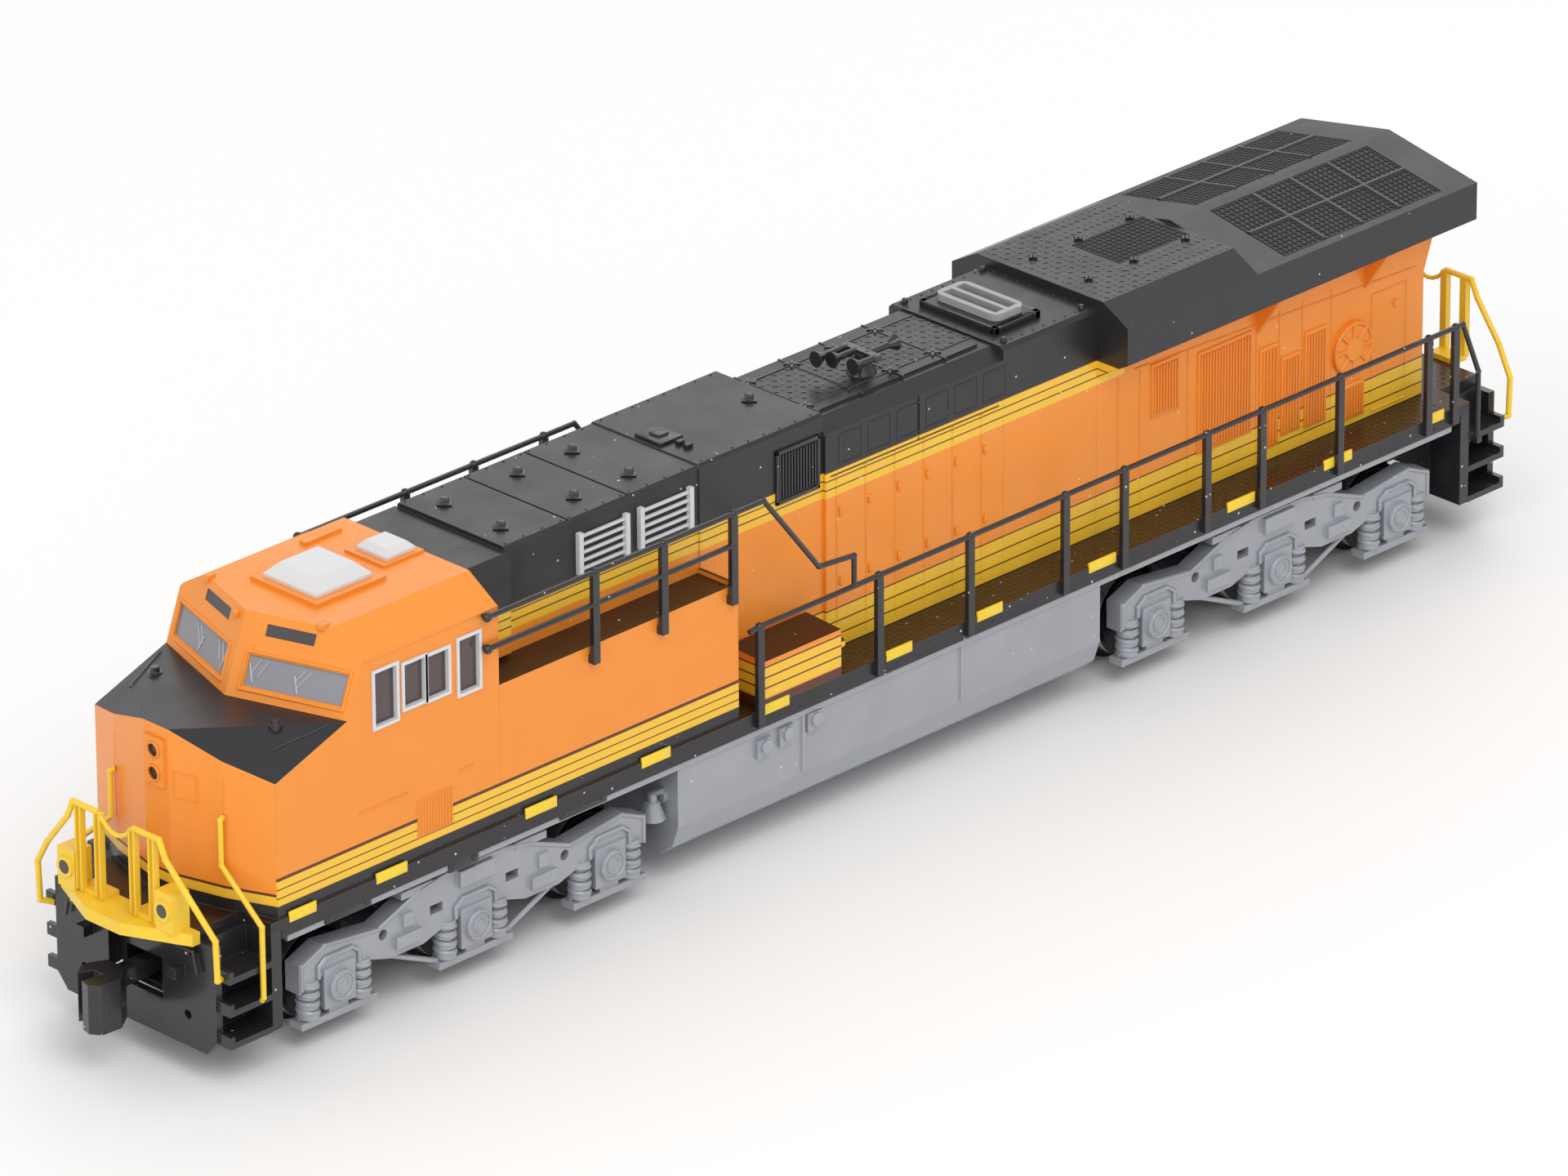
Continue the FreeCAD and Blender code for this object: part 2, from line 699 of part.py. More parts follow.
def pilot():
    """Front pilot: end plate with coupler opening and plough holes, step wells with treads."""
    front = platform_end
    back = front - 0.6
    half = pilot_half_width
    plate = along_x([(-half, deck_bottom), (-half, 3.1), (-7.0, pilot_bottom), (7.0, pilot_bottom),
                     (half, 3.1), (half, deck_bottom)], back, front)
    opening = box(back - 1, front + 1, -2.7, 2.7, 4.7, 8.9)
    holes = [rod_x(back - 1, front + 1, s * hole_offset, hole_height, hole_radius) for s in (-1, 1)]
    plate = plate.cut([opening] + holes)
    outer = body_half_width
    side = [
        box(step_back - 0.9, step_back, step_inner, outer, 3.0, deck_bottom),
        box(step_back, back, step_inner, step_inner + 0.5, 3.0, deck_bottom),
    ]
    for k in range(3):
        z = 2.95 + 2.45 * k
        side.append(box(step_back, front - 0.2, step_inner, outer, z, z + 0.45))
        side.append(box(front - 0.6, front - 0.2, half - 0.3, outer, z, z + 0.9))
    lug = box(back, front + 0.9, 4.2, 5.0, 7.2, 8.0)
    return join([plate, lug, other_side(lug)] + with_other_side(side))


def front_pilot():
    return pilot()


def rear_pilot():
    return other_end(pilot())


# Body shell

def cab_block(inset):
    floor = shell_base - 1 if inset else shell_base
    rear = cab_rear - 1 if inset else cab_rear
    side = cab_half_width
    half = side - inset
    middle = (45, 0, 20)
    block = box(rear, 58, -half, half, floor, cab_roof - inset)
    for s in (1, -1):
        block = trim(block, (cab_rear, s * cab_roof_half, cab_roof), (cab_rear, s * side, cab_eave),
                     (windshield_top, s * cab_roof_half, cab_roof), inset, middle)
        block = trim(block, (windshield_centre, 0, nose_top), (windshield_outer, s * side, nose_top),
                     (windshield_top, 0, cab_roof), inset, middle)
    return block


def nose_block(inset):
    floor = shell_base - 1 if inset else shell_base
    plan = nose_plan(inset)
    far = [(x, -y) for x, y in reversed(plan[2:])]
    half = cab_half_width - inset
    rear = windshield_outer - 1.5
    outline = [(rear, -half)] + far + plan[:2] + plan[2:] + [(rear, half)]
    block = along_z(outline, floor, nose_top - inset)
    for s in (1, -1):
        block = trim(block, (nose_front, s * nose_strip_half, nose_top),
                     (nose_corner, s * cab_half_width, nose_corner_top),
                     (windshield_outer, s * cab_half_width, nose_top), inset, (55, 0, 15))
    return block


def cab_outer():
    return join([cab_block(0), nose_block(0)])


def cab_inner(inset):
    return join([cab_block(inset), nose_block(inset)])


def windshield_prisms(grow):
    left = box(50, 57, pane_inner - grow, pane_outer + grow, pane_low - grow, pane_high + grow)
    return with_other_side([left])


def number_board_prisms():
    left = box(50, 57, 1.8, 5.4, 27.85, 28.65)
    return with_other_side([left])


def window_prisms(grow):
    left = [box(x0 - grow, x1 + grow, cab_half_width - 1.2, cab_half_width + 0.1, z0 - grow, z1 + grow)
            for x0, x1, z0, z1 in side_window_spans]
    return with_other_side(left)


def lamp_holes(radius):
    return [rod_x(nose_front - 1.2, nose_front + 1, 0, z, radius) for z in (lamp_low, lamp_high)]


def cab_shell():
    shell = cab_outer().cut(cab_inner(wall))
    shell = shell.cut(windshield_prisms(0) + number_board_prisms() + window_prisms(frame_border))
    shell = shell.cut(lamp_holes(lamp_radius))
    details = [
        box(43.5, 50.0, -3.3, 3.3, cab_roof, cab_roof + 0.3),
        box(38.6, 42.4, -2.0, 1.9, cab_roof, cab_roof + 0.2),
        box(40.2, 43.6, -5.2, -4.6, cab_roof, cab_roof + 0.25),
    ]
    lamp_box = box(nose_front - 0.1, nose_front + 0.25, -0.95, 0.95, 19.1, 22.7)
    details.append(lamp_box.cut(lamp_holes(lamp_radius)))
    return join([shell] + details)


def windshields():
    layer = cab_inner(0.15).cut(cab_inner(0.45))
    return group([layer.common(prism) for prism in windshield_prisms(0)])


def number_boards():
    layer = cab_inner(0.05).cut(cab_inner(0.45))
    return group([layer.common(prism) for prism in number_board_prisms()])


def window_frames():
    frames = []
    for x0, x1, z0, z1 in side_window_spans:
        edge = frame_border
        ring = box(x0 - edge, x1 + edge, cab_half_width - wall, cab_half_width + 0.12, z0 - edge, z1 + edge)
        frames.append(ring.cut(box(x0, x1, 0, 12, z0, z1)))
    return group(with_other_side(frames))


def side_windows():
    panes = [box(x0, x1, cab_half_width - 0.5, cab_half_width - 0.25, z0, z1)
             for x0, x1, z0, z1 in side_window_spans]
    return group(with_other_side(panes))


def lamp_lenses():
    lenses = [rod_x(nose_front - 0.5, nose_front + 0.1, 0, z, lamp_radius) for z in (lamp_low, lamp_high)]
    lenses += [rod_x(hood_rear - 0.1, hood_rear + 0.5, 0, z, lamp_radius)
               for z in (rear_lamp_low, rear_lamp_high)]
    lenses += [rod_x(ditch_front - 0.5, ditch_front, s * ditch_y, ditch_z, ditch_lens_radius)
               for s in (-1, 1)]
    return group(lenses)


def roof_air_units():
    def dome(x0, x1, half, z0, height, slope):
        low = [(x0, -half), (x1, -half), (x1, half), (x0, half)]
        body = along_z(low, z0, z0 + height)
        edges = [e for e in body.Edges if min(v.Z for v in e.Vertexes) > z0 + height - 0.01]
        return body.makeChamfer(slope, edges)
    big = dome(44.2, 49.4, 2.65, cab_roof + 0.3, 1.1, 0.85)
    small = dome(39.0, 41.8, 1.5, cab_roof + 0.2, 0.7, 0.45)
    return group([big, small])


def hood_part(profile, x0, x1):
    return along_x(with_mirror(profile), x0, x1)


def with_mirror(right_half):
    """Closed outline from the points of one half, listed from the bottom up."""
    left_half = [(-y, z) for y, z in reversed(right_half) if y > 0]
    return right_half + left_half


def cavity(x0, x1):
    return box(x0, x1, -cavity_half, cavity_half, deck_top - 1, cavity_top)


def side_box():
    """Equipment box flush with the cab side; its lid is the raised walkway."""
    inner = hatch_half - 0.3
    block = box(side_box_rear, cab_rear, inner, cab_half_width, shell_base, side_box_top)
    hollow = box(side_box_rear + wall, cab_rear + 1, inner - 1, cab_half_width - wall, shell_base - 1,
                 side_box_top - 0.9)
    recess = box(side_box_rear + 0.3, cab_rear + 1, hatch_half - 1, cab_half_width - 0.4,
                 side_box_top - 0.3, side_box_top + 1)
    return block.cut([hollow, recess])


def front_hood():
    base = hood_part([(hatch_half, deck_top), (hatch_half, hatch_base_top - 0.4),
                      (hatch_half - 0.2, hatch_base_top)], tall_rear, cab_rear)
    shoulder = hood_part([(hatch_base_half, side_box_top), (hatch_base_half, hatch_base_top - 0.5),
                          (hatch_base_half - 0.4, hatch_base_top)], hatch_front, cab_rear)
    lid = hood_part([(hatch_half, hatch_base_top - 1), (hatch_half, hatch_top - 0.15),
                     (hatch_half - 0.15, hatch_top)], hatch_rear, hatch_front)
    tall = hood_part([(tall_half, deck_top), (tall_half, tall_top - 0.25),
                      (tall_half - 0.25, tall_top)], tall_rear, hatch_rear)
    boxes = with_other_side([side_box()])
    seams = [box(x - 0.09, x + 0.09, -6, 6, hatch_top - 0.12, hatch_top + 1) for x in (28.16, 22.39)]
    whole = join([base, shoulder, lid, tall] + boxes)
    return cut(whole, [cavity(tall_rear - 1, cab_rear + 1)] + seams)


def engine_hood():
    half = engine_half
    main = hood_part([(half, deck_top), (half, engine_side_top), (engine_bevel, engine_top)],
                     engine_rear, tall_rear)
    tread = hood_part([(engine_bevel - 0.5, engine_top - 0.5), (engine_bevel - 0.5, engine_top + 0.2)],
                      engine_rear + 0.9, tall_rear - 0.9)
    core = box(-8, -4, -half + 0.12, half - 0.12, 0, engine_top + 0.08)
    seam = box(-5.95, -5.75, -7, 7, 24.4, 30).cut(core)
    return cut(join([main, tread]), [cavity(engine_rear - 1, tall_rear + 1), seam])


def exhaust_housing():
    main = hood_part([(engine_half, deck_top), (engine_half, exhaust_top - 0.3),
                      (engine_half - 0.3, exhaust_top)], exhaust_rear, engine_rear)
    return cut(main, [cavity(exhaust_rear - 1, engine_rear + 1)])


def radiator_housing():
    half = engine_half
    hood = hood_part([(half, deck_top), (half, wing_root + 0.5)], hood_rear, exhaust_rear)
    front = hood_part([(half - 0.5, wing_root - 0.5), (half, wing_root), (wing_half, wing_bottom),
                       (wing_half, wing_top), (radiator_flat, radiator_top)], radiator_step, exhaust_rear)
    rear = hood_part([(half - 0.5, wing_root - 0.5), (half, wing_root), (wing_half, wing_bottom),
                      (wing_half, wing_top), (0, ridge_top)], wing_rear, radiator_step)
    flare = along_y([(hood_rear, 20.9), (hood_rear, 26), (wing_rear + 0.3, 26),
                     (wing_rear + 0.9, wing_bottom), (hood_rear - 0.9, 23.3)], -half, half)
    below = box(wing_rear - 1, hood_rear, -10, 10, 20, wing_bottom)
    whole = join([hood, front, rear.cut(below), flare])
    room = cavity(hood_rear + wall, exhaust_rear + 1)
    lamps = [rod_x(hood_rear - 1, hood_rear + 1, 0, z, lamp_radius) for z in (rear_lamp_low, rear_lamp_high)]
    return cut(whole, [room] + lamps + screen_slabs(screen_depth))


def screen_slabs(depth):
    """The three screened openings of the radiator roof: one flat, two on the slopes."""
    slope = (ridge_top - wing_top) / wing_half
    z0 = ridge_top - slope * screen_near
    z1 = ridge_top - slope * screen_far
    left = along_x([(screen_near, z0 - depth), (screen_far, z1 - depth), (screen_far, z1 + 0.02),
                    (screen_near, z0 + 0.02)], screen_rear, screen_front)
    roof = box(-37.3, -29.9, -2.4, 2.4, radiator_top - depth, radiator_top + 0.02)
    return [left, other_side(left), roof]


def radiator_screens():
    lowered = []
    for slab in screen_slabs(screen_depth):
        thin = slab.copy()
        thin.translate(Vec(0, 0, -0.1))
        lowered.append(thin.common(slab))
    return group(lowered)


def exhaust_stack():
    x, half_x, half_y = -17.95, 1.55, 3.1
    base = box(x - 1.9, x + 1.9, -3.7, 3.7, exhaust_top, exhaust_top + 0.5)
    z = exhaust_top + 0.5
    ring = box(x - half_x, x + half_x, -half_y, half_y, z, z + 0.55)
    corners = [e for e in ring.Edges if abs(e.Vertexes[0].Z - e.Vertexes[-1].Z) > 0.5]
    ring = ring.makeFillet(0.7, corners)
    slots = [box(x - half_x + 0.45, x - 0.2, -half_y + 0.5, half_y - 0.5, z - 0.2, z + 1),
             box(x + 0.2, x + half_x - 0.45, -half_y + 0.5, half_y - 0.5, z - 0.2, z + 1)]
    return cut(join([base, ring]), slots)


def air_horn():
    x, y = -4.4, 1.5
    z = engine_top + 0.2
    pieces = [Part.makeCone(1.1, 0.65, 0.9, Vec(x, y, z)), rod_z(x, y, z + 0.8, z + 1.5, 0.5),
              box(x - 0.3, x + 0.3, y - 1.7, y + 1.7, z + 1.3, z + 1.75)]
    for offset, length, ahead in ((-1.4, 3.2, 1), (-0.5, 2.5, 1), (0.5, 2.9, -1), (1.4, 2.3, 1)):
        outline = [(0, 0), (0, 0.25), (length - 0.8, 0.25), (length, 0.62), (length, 0)]
        bell = flat([(x + ahead * u, y + offset, z + 1.55 + w) for u, w in outline])
        axis = Vec(x, y + offset, z + 1.55)
        pieces.append(bell.revolve(axis, Vec(1, 0, 0), 360))
    return join(pieces)


def brake_grilles():
    z0, z1 = 24.95, 28.1
    y = hatch_half
    pieces = []
    for x0, x1 in ((22.6, 27.5), (16.4, 21.6)):
        uprights = [box(x0, x0 + 0.4, y, y + 0.4, z0, z1), box(x1 - 0.4, x1, y, y + 0.4, z0, z1)]
        bars = []
        for k in range(5):
            z = z0 + 0.35 + k * (z1 - z0 - 0.7) / 4
            bars.append(box(x0 + 0.4, x1 - 0.4, y + 0.05, y + 0.25, z - 0.1, z + 0.1))
        pieces.append(join(uprights + bars))
    return group(with_other_side(pieces))


def toolboxes():
    y0 = engine_half
    block = along_x([(y0, deck_top), (body_half_width, deck_top), (body_half_width, toolbox_top - 0.2),
                     (y0, toolbox_top)], toolbox_rear, toolbox_front)
    hollow = box(toolbox_rear + wall, toolbox_front - wall, y0 + wall, body_half_width - wall,
                 deck_top - 1, toolbox_top - wall - 0.2)
    nub = rod_x(toolbox_rear - 0.8, toolbox_rear, 8.4, 13.2, 0.4)
    one = join([block.cut(hollow), nub])
    return group([one, other_side(one)])


# Railings

def post(x, z0, z1):
    y = body_half_width
    return box(x - post_width / 2, x + post_width / 2, y, y + post_depth, z0, z1)


def side_handrail():
    y = rail_y
    r = rail_radius
    inner = body_half_width
    foot_x = -61.0
    pieces = [bent_bar([(14.8, y, rail_z - 0.1), (13.78, y, rail_z), (-59.2, y, rail_z), (foot_x, y, 13.4),
                        (foot_x, y, 8.1)], r)]
    pieces.append(box(foot_x - 0.25, foot_x + 0.25, inner, y + 0.25, 7.7, 8.2))
    for x in lower_posts + [-58.4]:
        pieces.append(post(x, 10.0, rail_z + 0.1))
    pieces.append(bent_bar([(39.9, y, upper_rail_z), (13.3, y, upper_rail_z), (7.9, y, 20.4),
                            (4.4, y, 20.1), (4.4, y, rail_z)], r))
    pieces.append(bar((39.9, y, middle_rail_z), (16.3, y, middle_rail_z), r))
    base = side_box_top - 1.2
    for x in upper_posts:
        pieces.append(post(x, base, upper_rail_z + 0.1))
        pieces.append(box(x - post_width / 2, x + post_width / 2, cab_half_width, inner, base, base + 0.6))
    for z in (upper_rail_z, middle_rail_z):
        pieces.append(Part.makeSphere(0.35, Vec(39.9, y, z)))
        pieces.append(bar((39.9, y, z), (39.9, cab_half_width, z), r))
    return join(pieces)


def left_handrail():
    return side_handrail()


def right_handrail():
    return other_side(side_handrail())


def end_rails():
    """One side of the yellow end railing: two channel posts and the rail that runs down to the steps."""
    r = 0.22
    x = end_rail_x
    z = end_rail_z
    side = []
    for y in (end_post_inner, end_post_outer):
        web = box(x - 0.25, x, y - 0.3, y + 0.3, deck_top + 0.2, z)
        edge = [box(x, x + 0.25, y + s, y + s + 0.12, deck_top + 0.2, z) for s in (-0.3, 0.18)]
        side.append(join([web] + edge))
    foot = pilot_half_width + 0.9
    side.append(bent_bar([(x, end_post_inner, z), (x, 4.3, z), (x, 4.9, z - 1.3), (x - 0.3, 7.4, z - 4.2),
                          (x - 0.7, foot, 11.4), (x - 0.8, foot, 8.4),
                          (platform_end - 0.2, foot - 0.5, 8.1)], r))
    side.append(box(platform_end, x, end_post_inner - 0.3, end_post_outer + 0.3, deck_top, deck_top + 0.4))
    return side


def nose_grab_rail():
    """Grab rail from the nose down to the back of the steps."""
    x = nose_corner + 1.9
    top = end_rail_z + 0.4
    return bent_bar([(x - 0.32, 5.4, top), (x, 5.5, top - 0.1), (x, 5.5, 14.6), (x, rail_y, 11.3),
                     (x, rail_y, 6.0), (x, body_half_width, 5.7)], rail_radius)


def chain():
    """Moulded safety chain that sags between the two inner posts."""
    span = end_post_inner
    points = []
    steps = 8
    for k in range(steps + 1):
        y = -span + 2 * span * k / steps
        sag = 1.1 * (1 - (y / span) ** 2)
        points.append((end_rail_x, y, end_rail_z - sag))
    return bent_bar(points, 0.16)


def platform_rails():
    return join(with_other_side(end_rails()) + [chain()])


def front_platform_rails():
    return group([platform_rails()] + with_other_side([nose_grab_rail()]))


def rear_platform_rails():
    return other_end(platform_rails())


def front_beam():
    """Anticlimber beam with the two ditch light boxes."""
    x0 = platform_end
    plan = [(x0, -6.6), (65.1, -6.6), (67.3, -1.7), (67.3, 1.7), (65.1, 6.6), (x0, 6.6)]
    beam = along_z(plan, deck_bottom - 0.1, deck_top)
    boxes = []
    for s in (-1, 1):
        y = s * ditch_y
        body = box(x0 + 0.1, ditch_front - 0.2, y - 0.85, y + 0.85, deck_top, 14.0)
        nose = rod_x(ditch_front - 0.3, ditch_front, y, ditch_z, 0.75)
        seat = rod_x(ditch_front - 0.5, ditch_front + 1, y, ditch_z, ditch_lens_radius)
        boxes.append(join([body, nose]).cut(seat))
    return join([beam] + boxes)


# Fuel tank and couplers

def fuel_tank():
    half = tank_half
    outline = with_mirror([(half - 1.9, tank_bottom), (half - 0.6, 2.9), (half, 4.6), (half, tank_top)])
    block = along_x(outline, -tank_front, tank_front)
    keel = tank_front - 1.0
    room = box(-keel, keel, -chassis_half_width, chassis_half_width, chassis_keel, tank_top + 1)
    reach = flywheel_outer + 0.6
    flywheel_room = rod_x(-reach, reach, 0, shaft_z, flywheel_radius + 0.2)
    ribs = [box(x - 0.15, x + 0.15, half, half + 0.15, 4.8, tank_top) for x in (-7, 9)]
    return join([block.cut([room, flywheel_room])] + with_other_side(ribs))


def tank_fittings():
    y = tank_half
    left = []
    for x, z in ((13.0, 8.2), (10.8, 8.4), (8.0, 8.6)):
        left.append(join([box(x - 0.7, x + 0.7, y, y + 0.3, z - 0.9, z + 0.5),
                          rod_y(x, y + 0.3, y + 0.6, z, 0.5)]))
    x = tank_front
    y = y - 1.5
    bell = join([rod_x(x, x + 0.3, y, 6.6, 0.5), Part.makeCone(0.95, 0.5, 1.3, Vec(x + 1.05, y, 5.2)),
                 rod_z(x + 1.05, y, 6.4, 7.1, 0.35), box(x, x + 1.3, y - 0.2, y + 0.2, 6.9, 7.2)])
    return group(with_other_side(left) + [bell])


def coupler_box():
    x0 = 57.8
    x1 = 63.4
    half = 2.4
    shell = box(x0, x1, -half, half, coupler_z - 1.5, deck_bottom)
    room = box(x0 + 0.6, x1 + 1, -half + 0.4, half - 0.4, coupler_z - 1.0, coupler_z + 1.0)
    post = rod_z(coupler_pivot, 0, coupler_z - 1.2, coupler_z + 1.2, 0.6)
    return join([shell.cut(room), post])


def coupler_boxes():
    one = coupler_box()
    return group([one, other_end(one)])


def coupler():
    """Knuckle coupler: eye on the pivot post, shank, knuckle with lip and trip lug."""
    z0 = coupler_z - 0.6
    z1 = coupler_z + 0.6
    tip = length_over_couplers / 2
    eye = rod_z(coupler_pivot, 0, z0, z1, 1.1)
    shank = box(coupler_pivot, tip - 3.4, -0.6, 0.6, z0, z1)
    head = [(tip - 3.6, -0.9), (tip - 2.4, -1.5), (tip - 1.6, -1.5), (tip - 0.8, -0.9), (tip - 1.9, -0.4),
            (tip - 1.9, 0.5), (tip - 0.2, 0.2), (tip, 1.0), (tip - 0.5, 1.8), (tip - 2.2, 1.9),
            (tip - 3.6, 0.9)]
    knuckle = along_z(head, knuckle_bottom, coupler_z + 1.0)
    body = join([eye, shank, knuckle])
    return cut(body, [rod_z(coupler_pivot, 0, z0 - 1, z1 + 1, 0.6 + fit_gap)])


def front_coupler():
    return coupler()


def rear_coupler():
    turned = coupler()
    turned.rotate(Vec(0, 0, 0), Vec(0, 0, 1), 180)
    return turned


# Output

def save(name, shape):
    shape.exportStep("parts/" + name + ".step")


def save_truck(name, cx):
    save(name + "_truck_gearbox", gearbox(cx))
    save(name + "_truck_cover", truck_cover(cx))
    save(name + "_truck_side_frames", truck_side_frames(cx))
    save(name + "_worm_gear", pinned_gear(cx, worm_gear_z, worm_gear_teeth, worm_gear_angle,
                                         worm_gear_width, worm_backlash))
    for number, sign in ((1, 1), (2, -1)):
        x = cx + sign * idler_x
        save(f"{name}_idler_gear_{number}",
             pinned_gear(x, idler_z, idler_teeth, idler_angles[sign], gear_width, gear_backlash))
    for number, k in ((1, 1), (2, 0), (3, -1)):
        save(f"{name}_wheelset_{number}", wheelset(cx + k * geared_spacing, axle_angles[k]))


def main():
    os.makedirs("parts", exist_ok=True)
    single = [chassis_left, chassis_right, chassis_fasteners, motor_can, motor_end_caps, shaft_bearings,
              armature, flywheels, worm_shafts, circuit_board, light_emitters, light_guides, walkway,
              underframe_plate, front_pilot, rear_pilot, cab_shell, windshields, number_boards,
              window_frames, side_windows, lamp_lenses, roof_air_units, front_hood, engine_hood,
              exhaust_housing, radiator_housing, radiator_screens, exhaust_stack, air_horn,
              brake_grilles, toolboxes, left_handrail, right_handrail, front_platform_rails,
              rear_platform_rails, front_beam, fuel_tank, tank_fittings, coupler_boxes, front_coupler,
              rear_coupler]
    for maker in single:
        save(maker.__name__, maker())
    save_truck("front", truck_centre)
    save_truck("rear", -truck_centre)


main()
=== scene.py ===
import math

import bmesh
import bpy
from mathutils import Matrix, Vector
from mathutils.bvhtree import BVHTree


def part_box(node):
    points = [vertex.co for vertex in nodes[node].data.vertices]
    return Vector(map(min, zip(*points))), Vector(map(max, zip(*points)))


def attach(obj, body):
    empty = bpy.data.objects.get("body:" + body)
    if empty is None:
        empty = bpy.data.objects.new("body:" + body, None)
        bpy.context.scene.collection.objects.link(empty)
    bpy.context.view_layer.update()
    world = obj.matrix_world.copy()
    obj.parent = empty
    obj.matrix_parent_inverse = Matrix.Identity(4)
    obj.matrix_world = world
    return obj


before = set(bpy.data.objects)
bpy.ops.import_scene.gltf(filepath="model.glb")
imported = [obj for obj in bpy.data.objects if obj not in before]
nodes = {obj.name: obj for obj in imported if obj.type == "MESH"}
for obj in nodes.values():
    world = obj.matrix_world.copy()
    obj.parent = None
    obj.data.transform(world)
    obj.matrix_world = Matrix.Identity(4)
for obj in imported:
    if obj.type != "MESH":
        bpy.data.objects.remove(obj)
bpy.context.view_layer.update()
mm = 0.001
print("frame loaded:", len(nodes), "nodes")


# small tools for node trees

def addNode(tree, kind, **settings):
    node = tree.nodes.new(kind)
    for key, value in settings.items():
        setattr(node, key, value)
    return node


def feed(tree, source, socket):
    if isinstance(source, bpy.types.NodeSocket):
        tree.links.new(source, socket)
    else:
        socket.default_value = source


def calc(tree, operation, *values):
    node = addNode(tree, "ShaderNodeMath", operation=operation)
    for value, socket in zip(values, node.inputs):
        feed(tree, value, socket)
    return node.outputs[0]


def mixColour(tree, factor, low, high, blend="MIX"):
    node = addNode(tree, "ShaderNodeMix", data_type="RGBA", blend_type=blend)
    for index, value in ((0, factor), (6, low), (7, high)):
        feed(tree, value, node.inputs[index])
    return node.outputs[2]


def between(tree, value, low, high):
    above = calc(tree, "GREATER_THAN", value, low)
    below = calc(tree, "LESS_THAN", value, high)
    return calc(tree, "MULTIPLY", above, below)


def newGroup(name, inputs, outputs):
    group = bpy.data.node_groups.new(name, "ShaderNodeTree")
    for label, kind, value in inputs:
        socket = group.interface.new_socket(label, in_out="INPUT", socket_type="NodeSocket" + kind)
        if value is not None:
            socket.default_value = value
    for label, kind in outputs:
        group.interface.new_socket(label, in_out="OUTPUT", socket_type="NodeSocket" + kind)
    start = group.nodes.new("NodeGroupInput")
    end = group.nodes.new("NodeGroupOutput")
    return group, start.outputs, end.inputs


def placeGroup(tree, group, **values):
    node = addNode(tree, "ShaderNodeGroup", node_tree=group)
    for label, value in values.items():
        feed(tree, value, node.inputs[label.replace("_", " ")])
    return node.outputs


# surface of a moulded and painted part: mottle, fine grain and specks of dust
def buildMouldedSkin():
    group, given, out = newGroup("mouldedSkin", [
        ("Position", "Vector", None), ("Colour", "Color", (0.5, 0.5, 0.5, 1)),
        ("Speck Colour", "Color", (0.8, 0.78, 0.75, 1)), ("Speck Amount", "Float", 0.03),
        ("Mottle", "Float", 0.06), ("Roughness", "Float", 0.4), ("Grain Scale", "Float", 9000.0)],
        [("Colour", "Color"), ("Roughness", "Float"), ("Height", "Float")])
    cloud = addNode(group, "ShaderNodeTexNoise", noise_dimensions="3D")
    cloud.inputs["Scale"].default_value = 320.0
    cloud.inputs["Detail"].default_value = 4.0
    feed(group, given["Position"], cloud.inputs["Vector"])
    grain = addNode(group, "ShaderNodeTexNoise")
    grain.inputs["Detail"].default_value = 3.0
    feed(group, given["Position"], grain.inputs["Vector"])
    feed(group, given["Grain Scale"], grain.inputs["Scale"])
    speck = addNode(group, "ShaderNodeTexVoronoi")
    speck.inputs["Scale"].default_value = 2600.0
    feed(group, given["Position"], speck.inputs["Vector"])
    split = addNode(group, "ShaderNodeSeparateColor")
    feed(group, speck.outputs["Color"], split.inputs[0])
    rare = calc(group, "GREATER_THAN", split.outputs[0], calc(group, "SUBTRACT", 1.0, given["Speck Amount"]))
    size = calc(group, "MULTIPLY", split.outputs[1], 0.26)
    dot = calc(group, "LESS_THAN", speck.outputs["Distance"], size)
    specks = calc(group, "MULTIPLY", rare, dot)
    level = calc(group, "SUBTRACT", cloud.outputs["Fac"], 0.5)
    shade = calc(group, "MULTIPLY_ADD", level, calc(group, "MULTIPLY", given["Mottle"], 2.0), 1.0)
    toned = addNode(group, "ShaderNodeVectorMath", operation="SCALE")
    feed(group, given["Colour"], toned.inputs[0])
    feed(group, shade, toned.inputs["Scale"])
    dusty = mixColour(group, calc(group, "MULTIPLY", specks, 0.75), toned.outputs[0], given["Speck Colour"])
    feed(group, dusty, out["Colour"])
    rough = calc(group, "MULTIPLY_ADD", level, 0.25, given["Roughness"])
    feed(group, calc(group, "MULTIPLY_ADD", specks, 0.3, rough), out["Roughness"])
    lumps = calc(group, "MULTIPLY_ADD", cloud.outputs["Fac"], 0.7, grain.outputs["Fac"])
    feed(group, calc(group, "MULTIPLY_ADD", specks, 1.2, lumps), out["Height"])
    return group


# rounded edges in the shading, and a mask of the edges, which get a painted highlight along with thin paint
def buildSoftEdge():
    group, given, out = newGroup("softEdge", [
        ("Radius", "Float", 0.00008), ("Strength", "Float", 1.0)], [("Mask", "Float"), ("Normal", "Vector")])
    bevel = addNode(group, "ShaderNodeBevel", samples=4)
    feed(group, given["Radius"], bevel.inputs["Radius"])
    surface = addNode(group, "ShaderNodeNewGeometry")
    dot = addNode(group, "ShaderNodeVectorMath", operation="DOT_PRODUCT")
    feed(group, bevel.outputs[0], dot.inputs[0])
    feed(group, surface.outputs["Normal"], dot.inputs[1])
    turned = calc(group, "SUBTRACT", 1.0, dot.outputs["Value"])
    mask = addNode(group, "ShaderNodeMath", operation="MULTIPLY", use_clamp=True)
    feed(group, turned, mask.inputs[0])
    feed(group, calc(group, "MULTIPLY", given["Strength"], 4.0), mask.inputs[1])
    feed(group, mask.outputs[0], out["Mask"])
    feed(group, bevel.outputs[0], out["Normal"])
    return group


